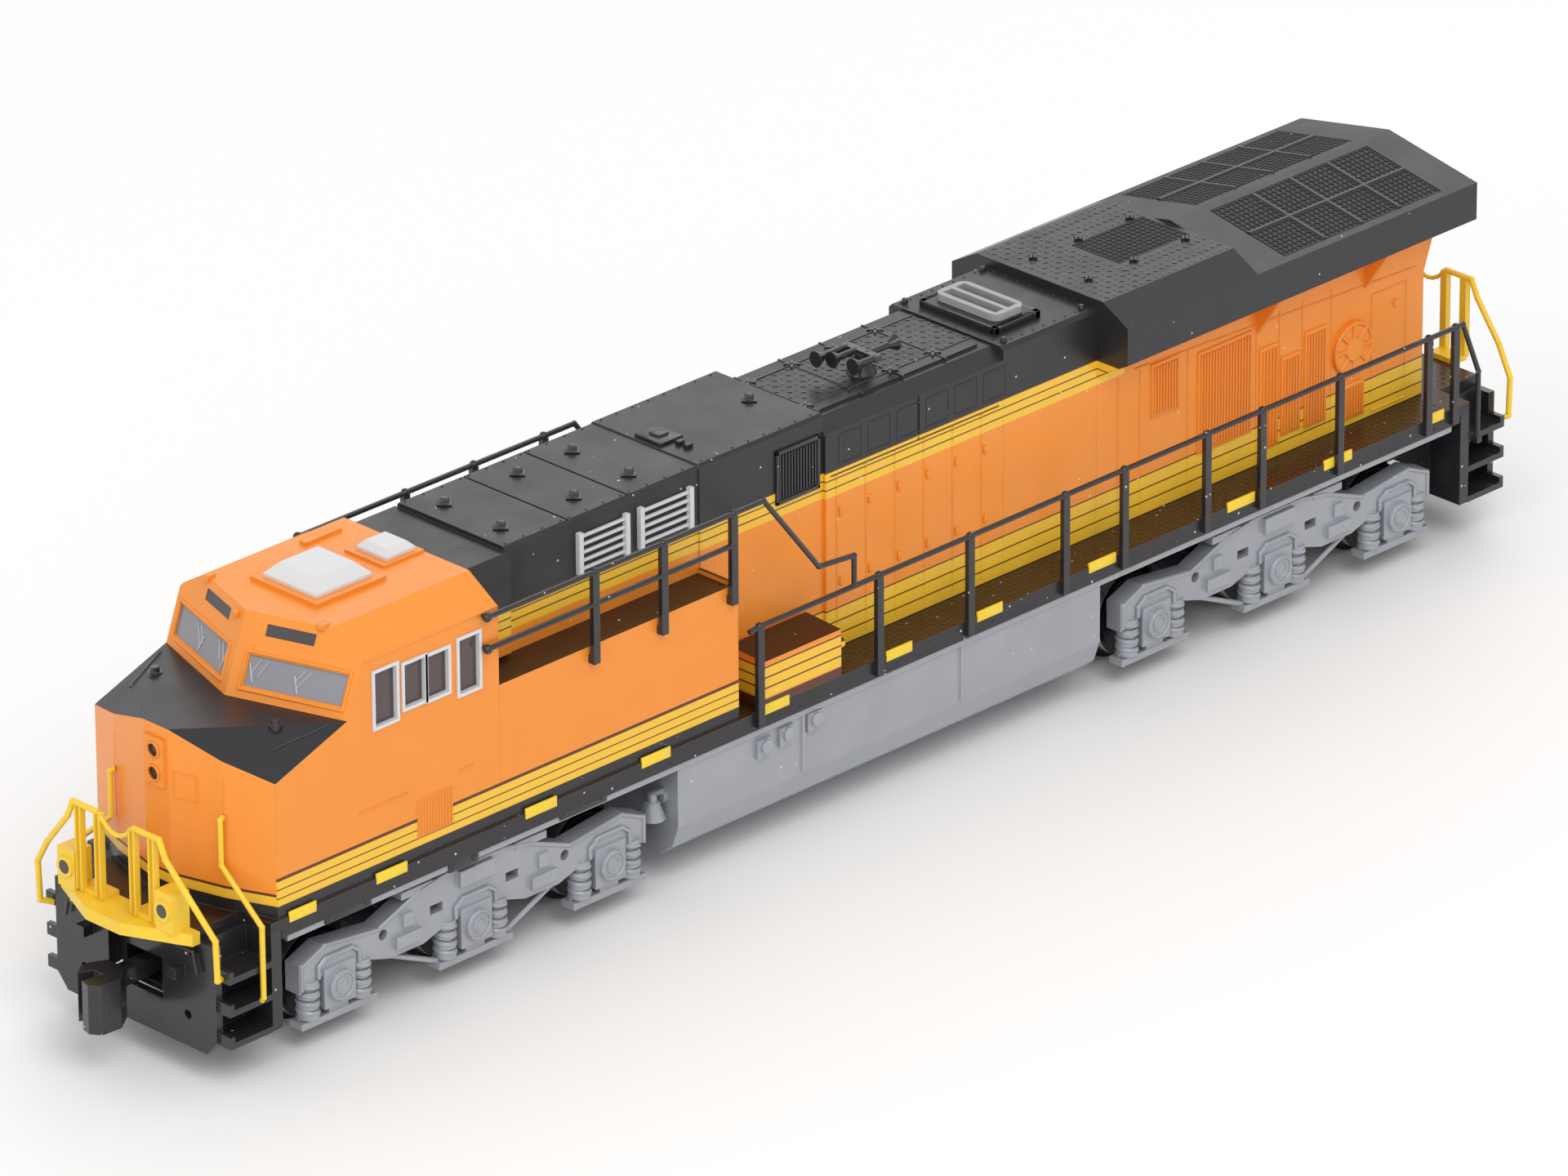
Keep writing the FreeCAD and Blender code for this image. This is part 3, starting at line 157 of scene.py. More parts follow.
# a painted band with thin dark lines, between two heights in millimetres
def buildStripeBand():
    group, given, out = newGroup("stripeBand", [
        ("Height", "Float", 0.0), ("Bottom", "Float", 12.0), ("Top", "Float", 14.0), ("Lines", "Float", 3.0),
        ("Line Width", "Float", 0.1), ("Fill", "Color", (0.9, 0.6, 0.02, 1)), ("Line", "Color", (0.1, 0.03, 0.01, 1))],
        [("Mask", "Float"), ("Colour", "Color")])
    inside = between(group, given["Height"], given["Bottom"], given["Top"])
    span = calc(group, "SUBTRACT", given["Top"], given["Bottom"])
    share = calc(group, "DIVIDE", calc(group, "SUBTRACT", given["Height"], given["Bottom"]), span)
    step = calc(group, "FRACT", calc(group, "MULTIPLY", share, given["Lines"]))
    edge = calc(group, "DIVIDE", calc(group, "MULTIPLY", given["Line Width"], given["Lines"]), span)
    line = calc(group, "GREATER_THAN", step, calc(group, "SUBTRACT", 1.0, edge))
    feed(group, inside, out["Mask"])
    feed(group, mixColour(group, line, given["Fill"], given["Line"]), out["Colour"])
    return group


mouldedSkin = buildMouldedSkin()
softEdge = buildSoftEdge()
stripeBand = buildStripeBand()

paint = {
    "orange": (0.86, 0.275, 0.028, 1),
    "yellow": (0.88, 0.52, 0.035, 1),
    "line": (0.10, 0.03, 0.012, 1),
    "black": (0.020, 0.019, 0.022, 1),
    "patch": (0.90, 0.62, 0.03, 1),
    "rail": (0.87, 0.58, 0.035, 1),
    "brown": (0.034, 0.014, 0.007, 1),
    "silver": (0.36, 0.375, 0.41, 1),
    "white": (0.68, 0.68, 0.70, 1),
}


def startMaterial(name):
    material = bpy.data.materials.new(name)
    material.use_nodes = True
    tree = material.node_tree
    tree.nodes.clear()
    shader = addNode(tree, "ShaderNodeBsdfPrincipled")
    output = addNode(tree, "ShaderNodeOutputMaterial")
    feed(tree, shader.outputs[0], output.inputs[0])
    position = addNode(tree, "ShaderNodeTexCoord").outputs["Object"]
    return material, tree, shader, position


def finishSurface(tree, shader, position, colour, settings):
    skin = placeGroup(
        tree, mouldedSkin, Position=position, Colour=colour, Speck_Amount=settings.get("specks", 0.02),
        Speck_Colour=settings.get("speckColour", (0.75, 0.73, 0.7, 1)), Mottle=settings.get("mottle", 0.06),
        Roughness=settings.get("roughness", 0.4), Grain_Scale=settings.get("grainScale", 9000.0))
    # edges get a lighter colour: a painted highlight along the edges, together with thin paint there
    edge = placeGroup(tree, softEdge, Radius=settings.get("edge", 0.08) * mm, Strength=settings.get("wear", 0.5))
    edgeSheenAndThinPaint = mixColour(tree, edge["Mask"], skin["Colour"], settings.get("edgeColour", (0.6, 0.55, 0.5, 1)))
    mixed = mixColour(tree, settings.get("wearShare", 0.25), skin["Colour"], edgeSheenAndThinPaint)
    feed(tree, mixed, shader.inputs["Base Color"])
    feed(tree, skin["Roughness"], shader.inputs["Roughness"])
    bump = addNode(tree, "ShaderNodeBump")
    bump.inputs["Strength"].default_value = settings.get("bump", 0.25)
    bump.inputs["Distance"].default_value = settings.get("bumpDepth", 0.02) * mm
    feed(tree, skin["Height"], bump.inputs["Height"])
    feed(tree, edge["Normal"], bump.inputs["Normal"])
    feed(tree, bump.outputs[0], shader.inputs["Normal"])
    shader.inputs["Metallic"].default_value = settings.get("metallic", 0.0)
    shader.inputs["Coat Weight"].default_value = settings.get("coat", 0.0)
    shader.inputs["Coat Roughness"].default_value = settings.get("coatRoughness", 0.15)
    shader.inputs["IOR"].default_value = 1.48


def plainSurface(name, **settings):
    material, tree, shader, position = startMaterial(name)
    finishSurface(tree, shader, position, settings["colour"], settings)
    return material


def axes(tree, position):
    spread = addNode(tree, "ShaderNodeSeparateXYZ")
    feed(tree, position, spread.inputs[0])
    return [calc(tree, "MULTIPLY", spread.outputs[k], 1000.0) for k in range(3)]


def facing(tree):
    surface = addNode(tree, "ShaderNodeNewGeometry")
    spread = addNode(tree, "ShaderNodeSeparateXYZ")
    feed(tree, surface.outputs["True Normal"], spread.inputs[0])
    return spread.outputs


# the edge colour of each finish is lighter than its body colour: a painted highlight on the edges, with thin paint
blackPlastic = plainSurface("blackPlastic", colour=paint["black"], roughness=0.26, coat=0.25, coatRoughness=0.1,
                            specks=0.05, mottle=0.15, edgeColour=(0.12, 0.11, 0.12, 1), wear=0.6, wearShare=0.8,
                            bump=0.3)
orangePaint = plainSurface("orangePaint", colour=paint["orange"], roughness=0.36, specks=0.006, mottle=0.05,
                           edgeColour=(0.92, 0.36, 0.06, 1), wear=0.5, wearShare=0.8, bump=0.2)
silverPaint = plainSurface("silverPaint", colour=paint["silver"], roughness=0.36, metallic=0.25, specks=0.01,
                           mottle=0.12, edgeColour=(0.72, 0.73, 0.76, 1), wear=0.7, wearShare=0.7, bump=0.3)
whitePaint = plainSurface("whitePaint", colour=paint["white"], roughness=0.38, specks=0.004, mottle=0.03,
                          edgeColour=(0.9, 0.9, 0.92, 1), bump=0.2)
railYellow = plainSurface("railYellow", colour=paint["rail"], roughness=0.38, specks=0.01, mottle=0.1,
                          edgeColour=(0.95, 0.78, 0.25, 1), wear=0.6, wearShare=0.6, edge=0.05)
patchYellow = plainSurface("patchYellow", colour=paint["patch"], roughness=0.3, specks=0.01, mottle=0.05, bump=0.15)
deckBrown = plainSurface("deckBrown", colour=paint["brown"], roughness=0.28, specks=0.16, mottle=0.7,
                         speckColour=(0.42, 0.30, 0.2, 1), bump=0.8, bumpDepth=0.04, grainScale=3200.0)
meshBlack = plainSurface("meshBlack", colour=(0.012, 0.012, 0.013, 1), roughness=0.45, specks=0.04, mottle=0.2)
dieCast = plainSurface("dieCast", colour=(0.33, 0.33, 0.34, 1), roughness=0.48, metallic=0.7, specks=0.0,
                       mottle=0.3, bump=0.6, bumpDepth=0.03, grainScale=5000.0)
naturalNylon = plainSurface("naturalNylon", colour=(0.78, 0.74, 0.66, 1), roughness=0.42, specks=0.01)
platedSteel = plainSurface("platedSteel", colour=(0.62, 0.61, 0.6, 1), roughness=0.24, metallic=1.0, specks=0.0,
                           mottle=0.1, bump=0.1)
turnedBrass = plainSurface("turnedBrass", colour=(0.78, 0.56, 0.24, 1), roughness=0.26, metallic=1.0, specks=0.0,
                           mottle=0.12, bump=0.1)
woundCopper = plainSurface("woundCopper", colour=(0.5, 0.22, 0.1, 1), roughness=0.4, metallic=0.8, bump=0.6,
                           grainScale=2500.0)
boardGreen = plainSurface("boardGreen", colour=(0.02, 0.14, 0.06, 1), roughness=0.3, specks=0.02, mottle=0.2)
lampBody = plainSurface("lampBody", colour=(0.82, 0.78, 0.6, 1), roughness=0.3)
lensDark = plainSurface("lensDark", colour=(0.075, 0.05, 0.045, 1), roughness=0.12, specks=0.03, mottle=0.3)
boardGrey = plainSurface("boardGrey", colour=(0.055, 0.05, 0.055, 1), roughness=0.3, specks=0.05, mottle=0.2)
wiperGrey = plainSurface("wiperGrey", colour=(0.50, 0.50, 0.52, 1), roughness=0.3, specks=0.0)
print("plain finishes made")


# paint scheme of the hood sides: sill, lower band, orange, upper band, black roof
liveryPlan = {
    "sillTop": 11.15, "lowerTop": 14.2, "upperBottom": 22.9, "upperTop": 24.9, "upperRear": -27.0,
    "cabSillTop": 12.0, "cabBandTop": 13.95, "capLine": 0.16, "noseBandTop": 12.7, "wingUnder": 25.25,
    "upright": 0.5, "outerSide": 8.6, "noseRear": 52.4, "noseFront": 62.02, "noseRoof": 24.35,
}


def hoodColour(tree, position):
    plan = liveryPlan
    x, y, z = axes(tree, position)
    up = facing(tree)[2]
    lower = placeGroup(tree, stripeBand, Height=z, Bottom=plan["sillTop"], Top=plan["lowerTop"], Lines=3.0,
                       Line_Width=0.11, Fill=paint["yellow"], Line=paint["line"])
    upper = placeGroup(tree, stripeBand, Height=z, Bottom=plan["upperBottom"], Top=plan["upperTop"], Lines=3.0,
                       Line_Width=0.1, Fill=paint["yellow"], Line=paint["line"])
    ahead = calc(tree, "GREATER_THAN", x, plan["upperRear"])
    colour = mixColour(tree, lower["Mask"], paint["orange"], lower["Colour"])
    colour = mixColour(tree, calc(tree, "MULTIPLY", upper["Mask"], ahead), colour, upper["Colour"])
    start = calc(tree, "MULTIPLY_ADD", ahead, plan["upperTop"] - plan["wingUnder"], plan["wingUnder"])
    high = calc(tree, "GREATER_THAN", z, start)
    low = calc(tree, "LESS_THAN", z, plan["sillTop"])
    topFace = calc(tree, "GREATER_THAN", up, plan["upright"])
    roof = calc(tree, "MULTIPLY", topFace, calc(tree, "GREATER_THAN", z, plan["upperBottom"]))
    dark = calc(tree, "MAXIMUM", calc(tree, "MAXIMUM", high, low), roof)
    return mixColour(tree, dark, colour, paint["black"])


def cabColour(tree, position):
    plan = liveryPlan
    x, y, z = axes(tree, position)
    up = facing(tree)[2]
    side = calc(tree, "GREATER_THAN", calc(tree, "ABSOLUTE", y), plan["outerSide"] + 0.3)
    band = placeGroup(tree, stripeBand, Height=z, Bottom=plan["cabSillTop"] - 0.05, Top=plan["cabBandTop"],
                      Lines=3.0, Line_Width=0.09, Fill=paint["yellow"], Line=paint["line"])
    noseBand = between(tree, z, plan["cabSillTop"] - 0.05, plan["noseBandTop"])
    noseLine = between(tree, z, plan["noseBandTop"], plan["noseBandTop"] + 0.2)
    capLine = between(tree, z, plan["cabBandTop"], plan["cabBandTop"] + plan["capLine"])
    sides = mixColour(tree, band["Mask"], paint["orange"], band["Colour"])
    sides = mixColour(tree, capLine, sides, paint["line"])
    nose = mixColour(tree, noseBand, paint["orange"], paint["yellow"])
    nose = mixColour(tree, noseLine, nose, paint["line"])
    colour = mixColour(tree, side, nose, sides)
    low = calc(tree, "LESS_THAN", z, plan["cabSillTop"] - 0.05)
    glare = calc(tree, "MULTIPLY", calc(tree, "GREATER_THAN", up, plan["upright"]),
                 calc(tree, "MULTIPLY", between(tree, x, plan["noseRear"], plan["noseFront"]),
                      calc(tree, "LESS_THAN", z, plan["noseRoof"])))
    dark = calc(tree, "MAXIMUM", low, glare)
    return mixColour(tree, dark, colour, paint["black"])


def liveryMaterial(name, pick, changes=None):
    material, tree, shader, position = startMaterial(name)
    colour = pick(tree, position)
    # the edge colour here is a painted highlight on the edges, with thin paint
    settings = dict(roughness=0.34, specks=0.02, mottle=0.05, edgeColour=(0.6, 0.35, 0.12, 1), wear=0.4,
                    wearShare=0.35, bump=0.2)
    settings.update(changes or {})
    finishSurface(tree, shader, position, colour, settings)
    return material


def frontHoodColour(tree, position):
    x, y, z = axes(tree, position)
    up = facing(tree)[2]
    hood = hoodColour(tree, position)
    cab = cabColour(tree, position)
    outer = calc(tree, "GREATER_THAN", calc(tree, "ABSOLUTE", y), liveryPlan["outerSide"])
    colour = mixColour(tree, outer, hood, cab)
    floor = calc(tree, "MULTIPLY", calc(tree, "GREATER_THAN", up, liveryPlan["upright"]),
                 calc(tree, "LESS_THAN", z, liveryPlan["upperBottom"]))
    return mixColour(tree, floor, colour, paint["brown"])


def toolboxColour(tree, position):
    z = axes(tree, position)[2]
    up = facing(tree)[2]
    band = placeGroup(tree, stripeBand, Height=z, Bottom=11.9, Top=14.3, Lines=3.0, Line_Width=0.12,
                      Fill=paint["yellow"], Line=paint["line"])
    side = mixColour(tree, band["Mask"], paint["orange"], band["Colour"])
    side = mixColour(tree, calc(tree, "LESS_THAN", z, 11.8), side, paint["line"])
    return mixColour(tree, calc(tree, "GREATER_THAN", up, 0.6), side, paint["brown"])


def walkwayColour(tree, position):
    z = axes(tree, position)[2]
    up = facing(tree)[2]
    top = calc(tree, "MULTIPLY", calc(tree, "GREATER_THAN", up, 0.7), calc(tree, "GREATER_THAN", z, 10.9))
    return mixColour(tree, top, paint["black"], paint["brown"])


def wheelColour(tree, position):
    flat = facing(tree)[1]
    rim = calc(tree, "LESS_THAN", calc(tree, "ABSOLUTE", flat), 0.8)
    return mixColour(tree, rim, (0.018, 0.017, 0.017, 1), (0.55, 0.54, 0.52, 1))


def stackColour(tree, position):
    z = axes(tree, position)[2]
    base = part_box("exhaust_housing")[1].z / mm + 0.52
    return mixColour(tree, calc(tree, "GREATER_THAN", z, base), paint["black"], (0.34, 0.34, 0.35, 1))


hoodPaint = liveryMaterial("hoodPaint", hoodColour)
cabPaint = liveryMaterial("cabPaint", cabColour, dict(specks=0.008))
frontHoodPaint = liveryMaterial("frontHoodPaint", frontHoodColour)
toolboxPaint = liveryMaterial("toolboxPaint", toolboxColour)
stackPaint = liveryMaterial("stackPaint", stackColour)
walkwayPaint = liveryMaterial("walkwayPaint", walkwayColour, dict(specks=0.1, mottle=0.5, bump=0.5, roughness=0.3))
wheelMetal = liveryMaterial("wheelMetal", wheelColour, dict(metallic=0.85, roughness=0.26, specks=0.0))
print("painted liveries made")


def clearMaterial(name, colour, clear, roughness):
    material, tree, shader, position = startMaterial(name)
    skin = placeGroup(tree, mouldedSkin, Position=position, Colour=colour, Speck_Amount=0.02, Mottle=0.05,
                      Roughness=roughness)
    feed(tree, skin["Colour"], shader.inputs["Base Color"])
    feed(tree, skin["Roughness"], shader.inputs["Roughness"])
    shader.inputs["Transmission Weight"].default_value = clear
    shader.inputs["IOR"].default_value = 1.49
    return material


windscreen = clearMaterial("windscreen", (0.36, 0.36, 0.40, 1), 0.35, 0.12)
sideGlass = clearMaterial("sideGlass", (0.16, 0.115, 0.11, 1), 0.5, 0.06)
guideClear = clearMaterial("guideClear", (0.85, 0.88, 0.9, 1), 0.9, 0.08)

cadFinish = {
    "chassis_left": dieCast, "chassis_right": dieCast, "chassis_fasteners": naturalNylon, "motor_can": platedSteel,
    "motor_end_caps": blackPlastic, "shaft_bearings": turnedBrass, "circuit_board": boardGreen,
    "light_emitters": lampBody, "light_guides": guideClear, "walkway": walkwayPaint, "underframe_plate": silverPaint,
    "front_pilot": blackPlastic, "rear_pilot": blackPlastic, "cab_shell": cabPaint, "windshields": windscreen,
    "number_boards": boardGrey, "window_frames": whitePaint, "side_windows": sideGlass, "lamp_lenses": lensDark,
    "roof_air_units": whitePaint, "front_hood": frontHoodPaint, "engine_hood": hoodPaint,
    "exhaust_housing": hoodPaint, "radiator_housing": hoodPaint, "radiator_screens": meshBlack,
    "exhaust_stack": stackPaint, "air_horn": blackPlastic, "brake_grilles": whitePaint, "toolboxes": toolboxPaint,
    "left_handrail": blackPlastic, "right_handrail": blackPlastic, "front_platform_rails": railYellow,
    "rear_platform_rails": railYellow, "front_beam": railYellow, "fuel_tank": silverPaint,
    "tank_fittings": silverPaint, "coupler_boxes": blackPlastic, "armature": woundCopper, "flywheels": turnedBrass,
    "worm_shafts": platedSteel, "front_coupler": blackPlastic, "rear_coupler": blackPlastic,
    "truck_gearbox": blackPlastic, "truck_cover": blackPlastic, "truck_side_frames": silverPaint,
    "worm_gear": naturalNylon, "idler_gear": naturalNylon, "wheelset": wheelMetal,
}
for name, node in nodes.items():
    key = name
    if key not in cadFinish:
        key = name.split("_", 1)[1].rstrip("_123")
    node.data.materials.clear()
    node.data.materials.append(cadFinish[key])
print("finishes set on the frame")


# a material with the name of its slot
blackPart = (blackPlastic, "black_plastic")
silverPart = (silverPaint, "silver_paint")
orangePart = (orangePaint, "orange_paint")
orangeHood = (orangePaint, "hood_paint")
hoodPart = (hoodPaint, "hood_paint")


# small tools for mesh pieces, in millimetres

def addBlock(mesh, low, high, turn=None):
    made = bmesh.ops.create_cube(mesh, size=1.0)["verts"]
    centre = (Vector(low) + Vector(high)) / 2
    size = Vector(high) - Vector(low)
    for vert in made:
        corner = Vector((vert.co.x * size.x, vert.co.y * size.y, vert.co.z * size.z))
        if turn is not None:
            corner = turn @ corner
        vert.co = (corner + centre) * mm
    return made


def addSideBlock(mesh, side, xs, ys, zs):
    near, far = sorted(side * y for y in ys)
    addBlock(mesh, (xs[0], near, zs[0]), (xs[1], far, zs[1]))


def addRod(mesh, start, end, radius, sides=10, endRadius=None):
    start, end = Vector(start), Vector(end)
    along = end - start
    place = Matrix.Translation((start + end) / 2 * mm) @ along.to_track_quat("Z", "Y").to_matrix().to_4x4()
    bmesh.ops.create_cone(mesh, cap_ends=True, segments=sides, radius1=radius * mm,
                          radius2=(radius if endRadius is None else endRadius) * mm, depth=along.length * mm,
                          matrix=place)


def addPipe(mesh, points, radius, sides=8):
    for start, end in zip(points, points[1:]):
        addRod(mesh, start, end, radius, sides)
    for point in points[1:-1]:
        bmesh.ops.create_uvsphere(mesh, u_segments=sides, v_segments=6, radius=radius * mm,
                                  matrix=Matrix.Translation(Vector(point) * mm))


def addPlate(mesh, outline, offset):
    base = [mesh.verts.new(Vector(point) * mm) for point in outline]
    top = [mesh.verts.new((Vector(point) + Vector(offset)) * mm) for point in outline]
    faces = [mesh.faces.new(base), mesh.faces.new(list(reversed(top)))]
    for k in range(len(base)):
        n = (k + 1) % len(base)
        faces.append(mesh.faces.new((base[k], top[k], top[n], base[n])))
    return faces


def finishPiece(name, mesh, finish, body="underframe", rounding=0.0, smooth=35):
    bmesh.ops.recalc_face_normals(mesh, faces=mesh.faces)
    data = bpy.data.meshes.new(name)
    mesh.to_mesh(data)
    mesh.free()
    return finishData(name, data, finish, body, rounding, smooth)


def finishData(name, data, finish, body="underframe", rounding=0.0, smooth=35):
    material, slotName = finish
    piece = bpy.data.objects.new(name, data)
    bpy.context.scene.collection.objects.link(piece)
    if rounding:
        bevel = piece.modifiers.new("roundedEdges", "BEVEL")
        bevel.width = rounding * mm
        bevel.segments = 2
        bevel.limit_method = "ANGLE"
        bevel.angle_limit = math.radians(40)
        piece.data = bakeMesh(piece)
    piece.data.shade_smooth()
    piece.data.set_sharp_from_angle(angle=math.radians(smooth))
    piece.data.materials.clear()
    piece.data.materials.append(material)
    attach(piece, body)
    return piece


def bakeMesh(piece):
    bpy.context.view_layer.update()
    graph = bpy.context.evaluated_depsgraph_get()
    data = bpy.data.meshes.new_from_object(piece.evaluated_get(graph))
    piece.modifiers.clear()
    return data


# geometry trees for what repeats

def socketName(tree, label):
    for item in tree.interface.items_tree:
        if item.name == label and item.in_out == "INPUT":
            return item.identifier
    raise KeyError(label)


def geometryTree(name, inputs):
    tree = bpy.data.node_groups.new(name, "GeometryNodeTree")
    tree.interface.new_socket("Geometry", in_out="INPUT", socket_type="NodeSocketGeometry")
    for label, kind in inputs:
        tree.interface.new_socket(label, in_out="INPUT", socket_type="NodeSocket" + kind)
    tree.interface.new_socket("Geometry", in_out="OUTPUT", socket_type="NodeSocketGeometry")
    return tree, tree.nodes.new("NodeGroupInput").outputs, tree.nodes.new("NodeGroupOutput").inputs


def closeTree(tree, given, out, instances):
    real = addNode(tree, "GeometryNodeRealizeInstances")
    feed(tree, instances, real.inputs[0])
    painted = addNode(tree, "GeometryNodeSetMaterial")
    feed(tree, real.outputs[0], painted.inputs["Geometry"])
    feed(tree, given["Material"], painted.inputs["Material"])
    feed(tree, painted.outputs[0], out["Geometry"])


def pointsAlong(tree, given):
    curve = addNode(tree, "GeometryNodeMeshToCurve")
    feed(tree, given["Geometry"], curve.inputs[0])
    points = addNode(tree, "GeometryNodeCurveToPoints", mode="LENGTH")
    feed(tree, curve.outputs[0], points.inputs[0])
    feed(tree, given["Spacing"], points.inputs["Length"])
    return points.outputs[0]


def placeAt(tree, points, shape):
    placed = addNode(tree, "GeometryNodeInstanceOnPoints")
    feed(tree, points, placed.inputs["Points"])
    feed(tree, shape, placed.inputs["Instance"])
    return placed


def sweep(tree, path, radius, resolution):
    section = addNode(tree, "GeometryNodeCurvePrimitiveCircle")
    section.inputs["Resolution"].default_value = resolution
    feed(tree, radius, section.inputs["Radius"])
    pipe = addNode(tree, "GeometryNodeCurveToMesh")
    feed(tree, path, pipe.inputs["Curve"])
    feed(tree, section.outputs[0], pipe.inputs["Profile Curve"])
    pipe.inputs["Fill Caps"].default_value = True
    return pipe.outputs[0]


# blocks at an even spacing along every guide line
def buildSlatTree():
    tree, given, out = geometryTree("slatRow", [("Spacing", "Float"), ("Size", "Vector"), ("Material", "Material")])
    block = addNode(tree, "GeometryNodeMeshCube")
    feed(tree, given["Size"], block.inputs["Size"])
    placed = placeAt(tree, pointsAlong(tree, given), block.outputs["Mesh"])
    closeTree(tree, given, out, placed.outputs[0])
    return tree


# round heads at an even spacing along every guide line
def buildRivetTree():
    tree, given, out = geometryTree("rivetRow", [("Spacing", "Float"), ("Radius", "Float"), ("Material", "Material")])
    head = addNode(tree, "GeometryNodeMeshIcoSphere")
    head.inputs["Subdivisions"].default_value = 2
    feed(tree, given["Radius"], head.inputs["Radius"])
    placed = placeAt(tree, pointsAlong(tree, given), head.outputs["Mesh"])
    closeTree(tree, given, out, placed.outputs[0])
    return tree


# raised lugs in alternate directions over a flat rectangle
def buildTreadTree():
    tree, given, out = geometryTree("treadLugs", [
        ("Centre", "Vector"), ("Size X", "Float"), ("Size Y", "Float"), ("Count X", "Int"), ("Count Y", "Int"),
        ("Lug Size", "Vector"), ("Material", "Material")])
    grid = addNode(tree, "GeometryNodeMeshGrid")
    for label, socket in (("Size X", 0), ("Size Y", 1), ("Count X", 2), ("Count Y", 3)):
        feed(tree, given[label], grid.inputs[socket])
    moved = addNode(tree, "GeometryNodeTransform")
    feed(tree, grid.outputs["Mesh"], moved.inputs["Geometry"])
    feed(tree, given["Centre"], moved.inputs["Translation"])
    lug = addNode(tree, "GeometryNodeMeshCube")
    feed(tree, given["Lug Size"], lug.inputs["Size"])
    index = addNode(tree, "GeometryNodeInputIndex").outputs[0]
    row = calc(tree, "FLOOR", calc(tree, "DIVIDE", index, given["Count Y"]))
    parity = calc(tree, "MODULO", calc(tree, "ADD", row, index), 2.0)
    angle = calc(tree, "MULTIPLY_ADD", parity, math.pi / 2, math.pi / 4)
    turn = addNode(tree, "ShaderNodeCombineXYZ")
    feed(tree, angle, turn.inputs["Z"])
    placed = placeAt(tree, moved.outputs[0], lug.outputs["Mesh"])
    feed(tree, turn.outputs[0], placed.inputs["Rotation"])
    closeTree(tree, given, out, placed.outputs[0])
    return tree


slatRow = buildSlatTree()
rivetRow = buildRivetTree()
treadLugs = buildTreadTree()


def runTree(name, tree, guide, values, finish, body="underframe"):
    holder = bpy.data.objects.new(name + "Guide", guide)
    bpy.context.scene.collection.objects.link(holder)
    modifier = holder.modifiers.new("tree", "NODES")
    modifier.node_group = tree
    for label, value in values.items():
        modifier[socketName(tree, label)] = value
    modifier[socketName(tree, "Material")] = finish[0]
    data = bakeMesh(holder)
    bpy.data.objects.remove(holder)
    return finishData(name, data, finish, body)


def guideLines(lines):
    data = bpy.data.meshes.new("guide")
    verts = [Vector(point) * mm for line in lines for point in line]
    edges = [(2 * k, 2 * k + 1) for k in range(len(lines))]
    data.from_pydata(verts, edges, [])
    return data


def bothSides(lines):
    return lines + [tuple((x, -y, z) for x, y, z in line) for line in lines]


def slats(name, lines, spacing, size, finish, body="underframe"):
    values = {"Spacing": spacing * mm, "Size": [s * mm for s in size]}
    return runTree(name, slatRow, guideLines(lines), values, finish, body)


def rivets(name, lines, spacing, radius, finish, body="underframe"):
    values = {"Spacing": spacing * mm, "Radius": radius * mm}
    return runTree(name, rivetRow, guideLines(lines), values, finish, body)


def tread(name, low, high, z, pitch, lug, finish):
    sizeX, sizeY = high[0] - low[0], high[1] - low[1]
    values = {
        "Centre": ((low[0] + high[0]) / 2 * mm, (low[1] + high[1]) / 2 * mm, z * mm),
        "Size X": sizeX * mm, "Size Y": sizeY * mm,
        "Count X": max(2, int(sizeX / pitch) + 1), "Count Y": max(2, int(sizeY / pitch) + 1),
        "Lug Size": [s * mm for s in lug]}
    empty = bpy.data.meshes.new("empty")
    return runTree(name, treadLugs, empty, values, finish)


# wires of a round section along every guide line
def buildWireTree():
    tree, given, out = geometryTree("wireRun", [("Radius", "Float"), ("Material", "Material")])
    curve = addNode(tree, "GeometryNodeMeshToCurve")
    feed(tree, given["Geometry"], curve.inputs[0])
    closeTree(tree, given, out, sweep(tree, curve.outputs[0], given["Radius"], 6))
    return tree


wireRun = buildWireTree()


def wires(name, lines, radius, finish, body="underframe"):
    return runTree(name, wireRun, guideLines(lines), {"Radius": radius * mm}, finish, body)


# finding a place on a frame piece, so that a detail sits on it
surfaces = {}


def onSurface(nodeName, start, direction, lift=0.0):
    if nodeName not in surfaces:
        data = nodes[nodeName].data
        surfaces[nodeName] = BVHTree.FromPolygons([v.co.copy() for v in data.vertices],
                                                  [list(p.vertices) for p in data.polygons])
    along = Vector(direction).normalized()
    aside = along.orthogonal()
    for nudge in (0.0, 0.02, -0.02, 0.3, -0.3):  # a ray that meets an edge or an opening goes a little to the side
        place = surfaces[nodeName].ray_cast((Vector(start) + aside * nudge) * mm, along)[0]
        if place is not None:
            return place / mm - along * lift - aside * nudge
    raise ValueError(nodeName + " has nothing at " + str(start))


# rays start well outside the body
outside = {"ahead": 75.0, "left": 30.0, "above": 40.0}


def fromAbove(nodeName, x, y, lift=0.0):
    return onSurface(nodeName, (x, y, outside["above"]), (0, 0, -1), lift)


def fromFront(nodeName, y, z, lift=0.0):
    return onSurface(nodeName, (outside["ahead"], y, z), (-1, 0, 0), lift)


def fromLeft(nodeName, x, z):
    return onSurface(nodeName, (x, outside["left"], z), (0, -1, 0)).y


def rowOf(start, end, count):
    return [start + (end - start) * k / (count - 1) for k in range(count)]


def ringOf(x, y, z, radius, count=25, endOn=False):
    turns = rowOf(0.0, 2 * math.pi, count)
    if endOn:
        return [(x, y + radius * math.cos(turn), z + radius * math.sin(turn)) for turn in turns]
    return [(x + radius * math.cos(turn), y, z + radius * math.sin(turn)) for turn in turns]


def sideOutline(x0, x1, y, z0, z1):
    return [((x0, y, z0), (x1, y, z0)), ((x0, y, z1), (x1, y, z1)),
            ((x0, y, z0), (x0, y, z1)), ((x1, y, z0), (x1, y, z1))]


print("tools ready")

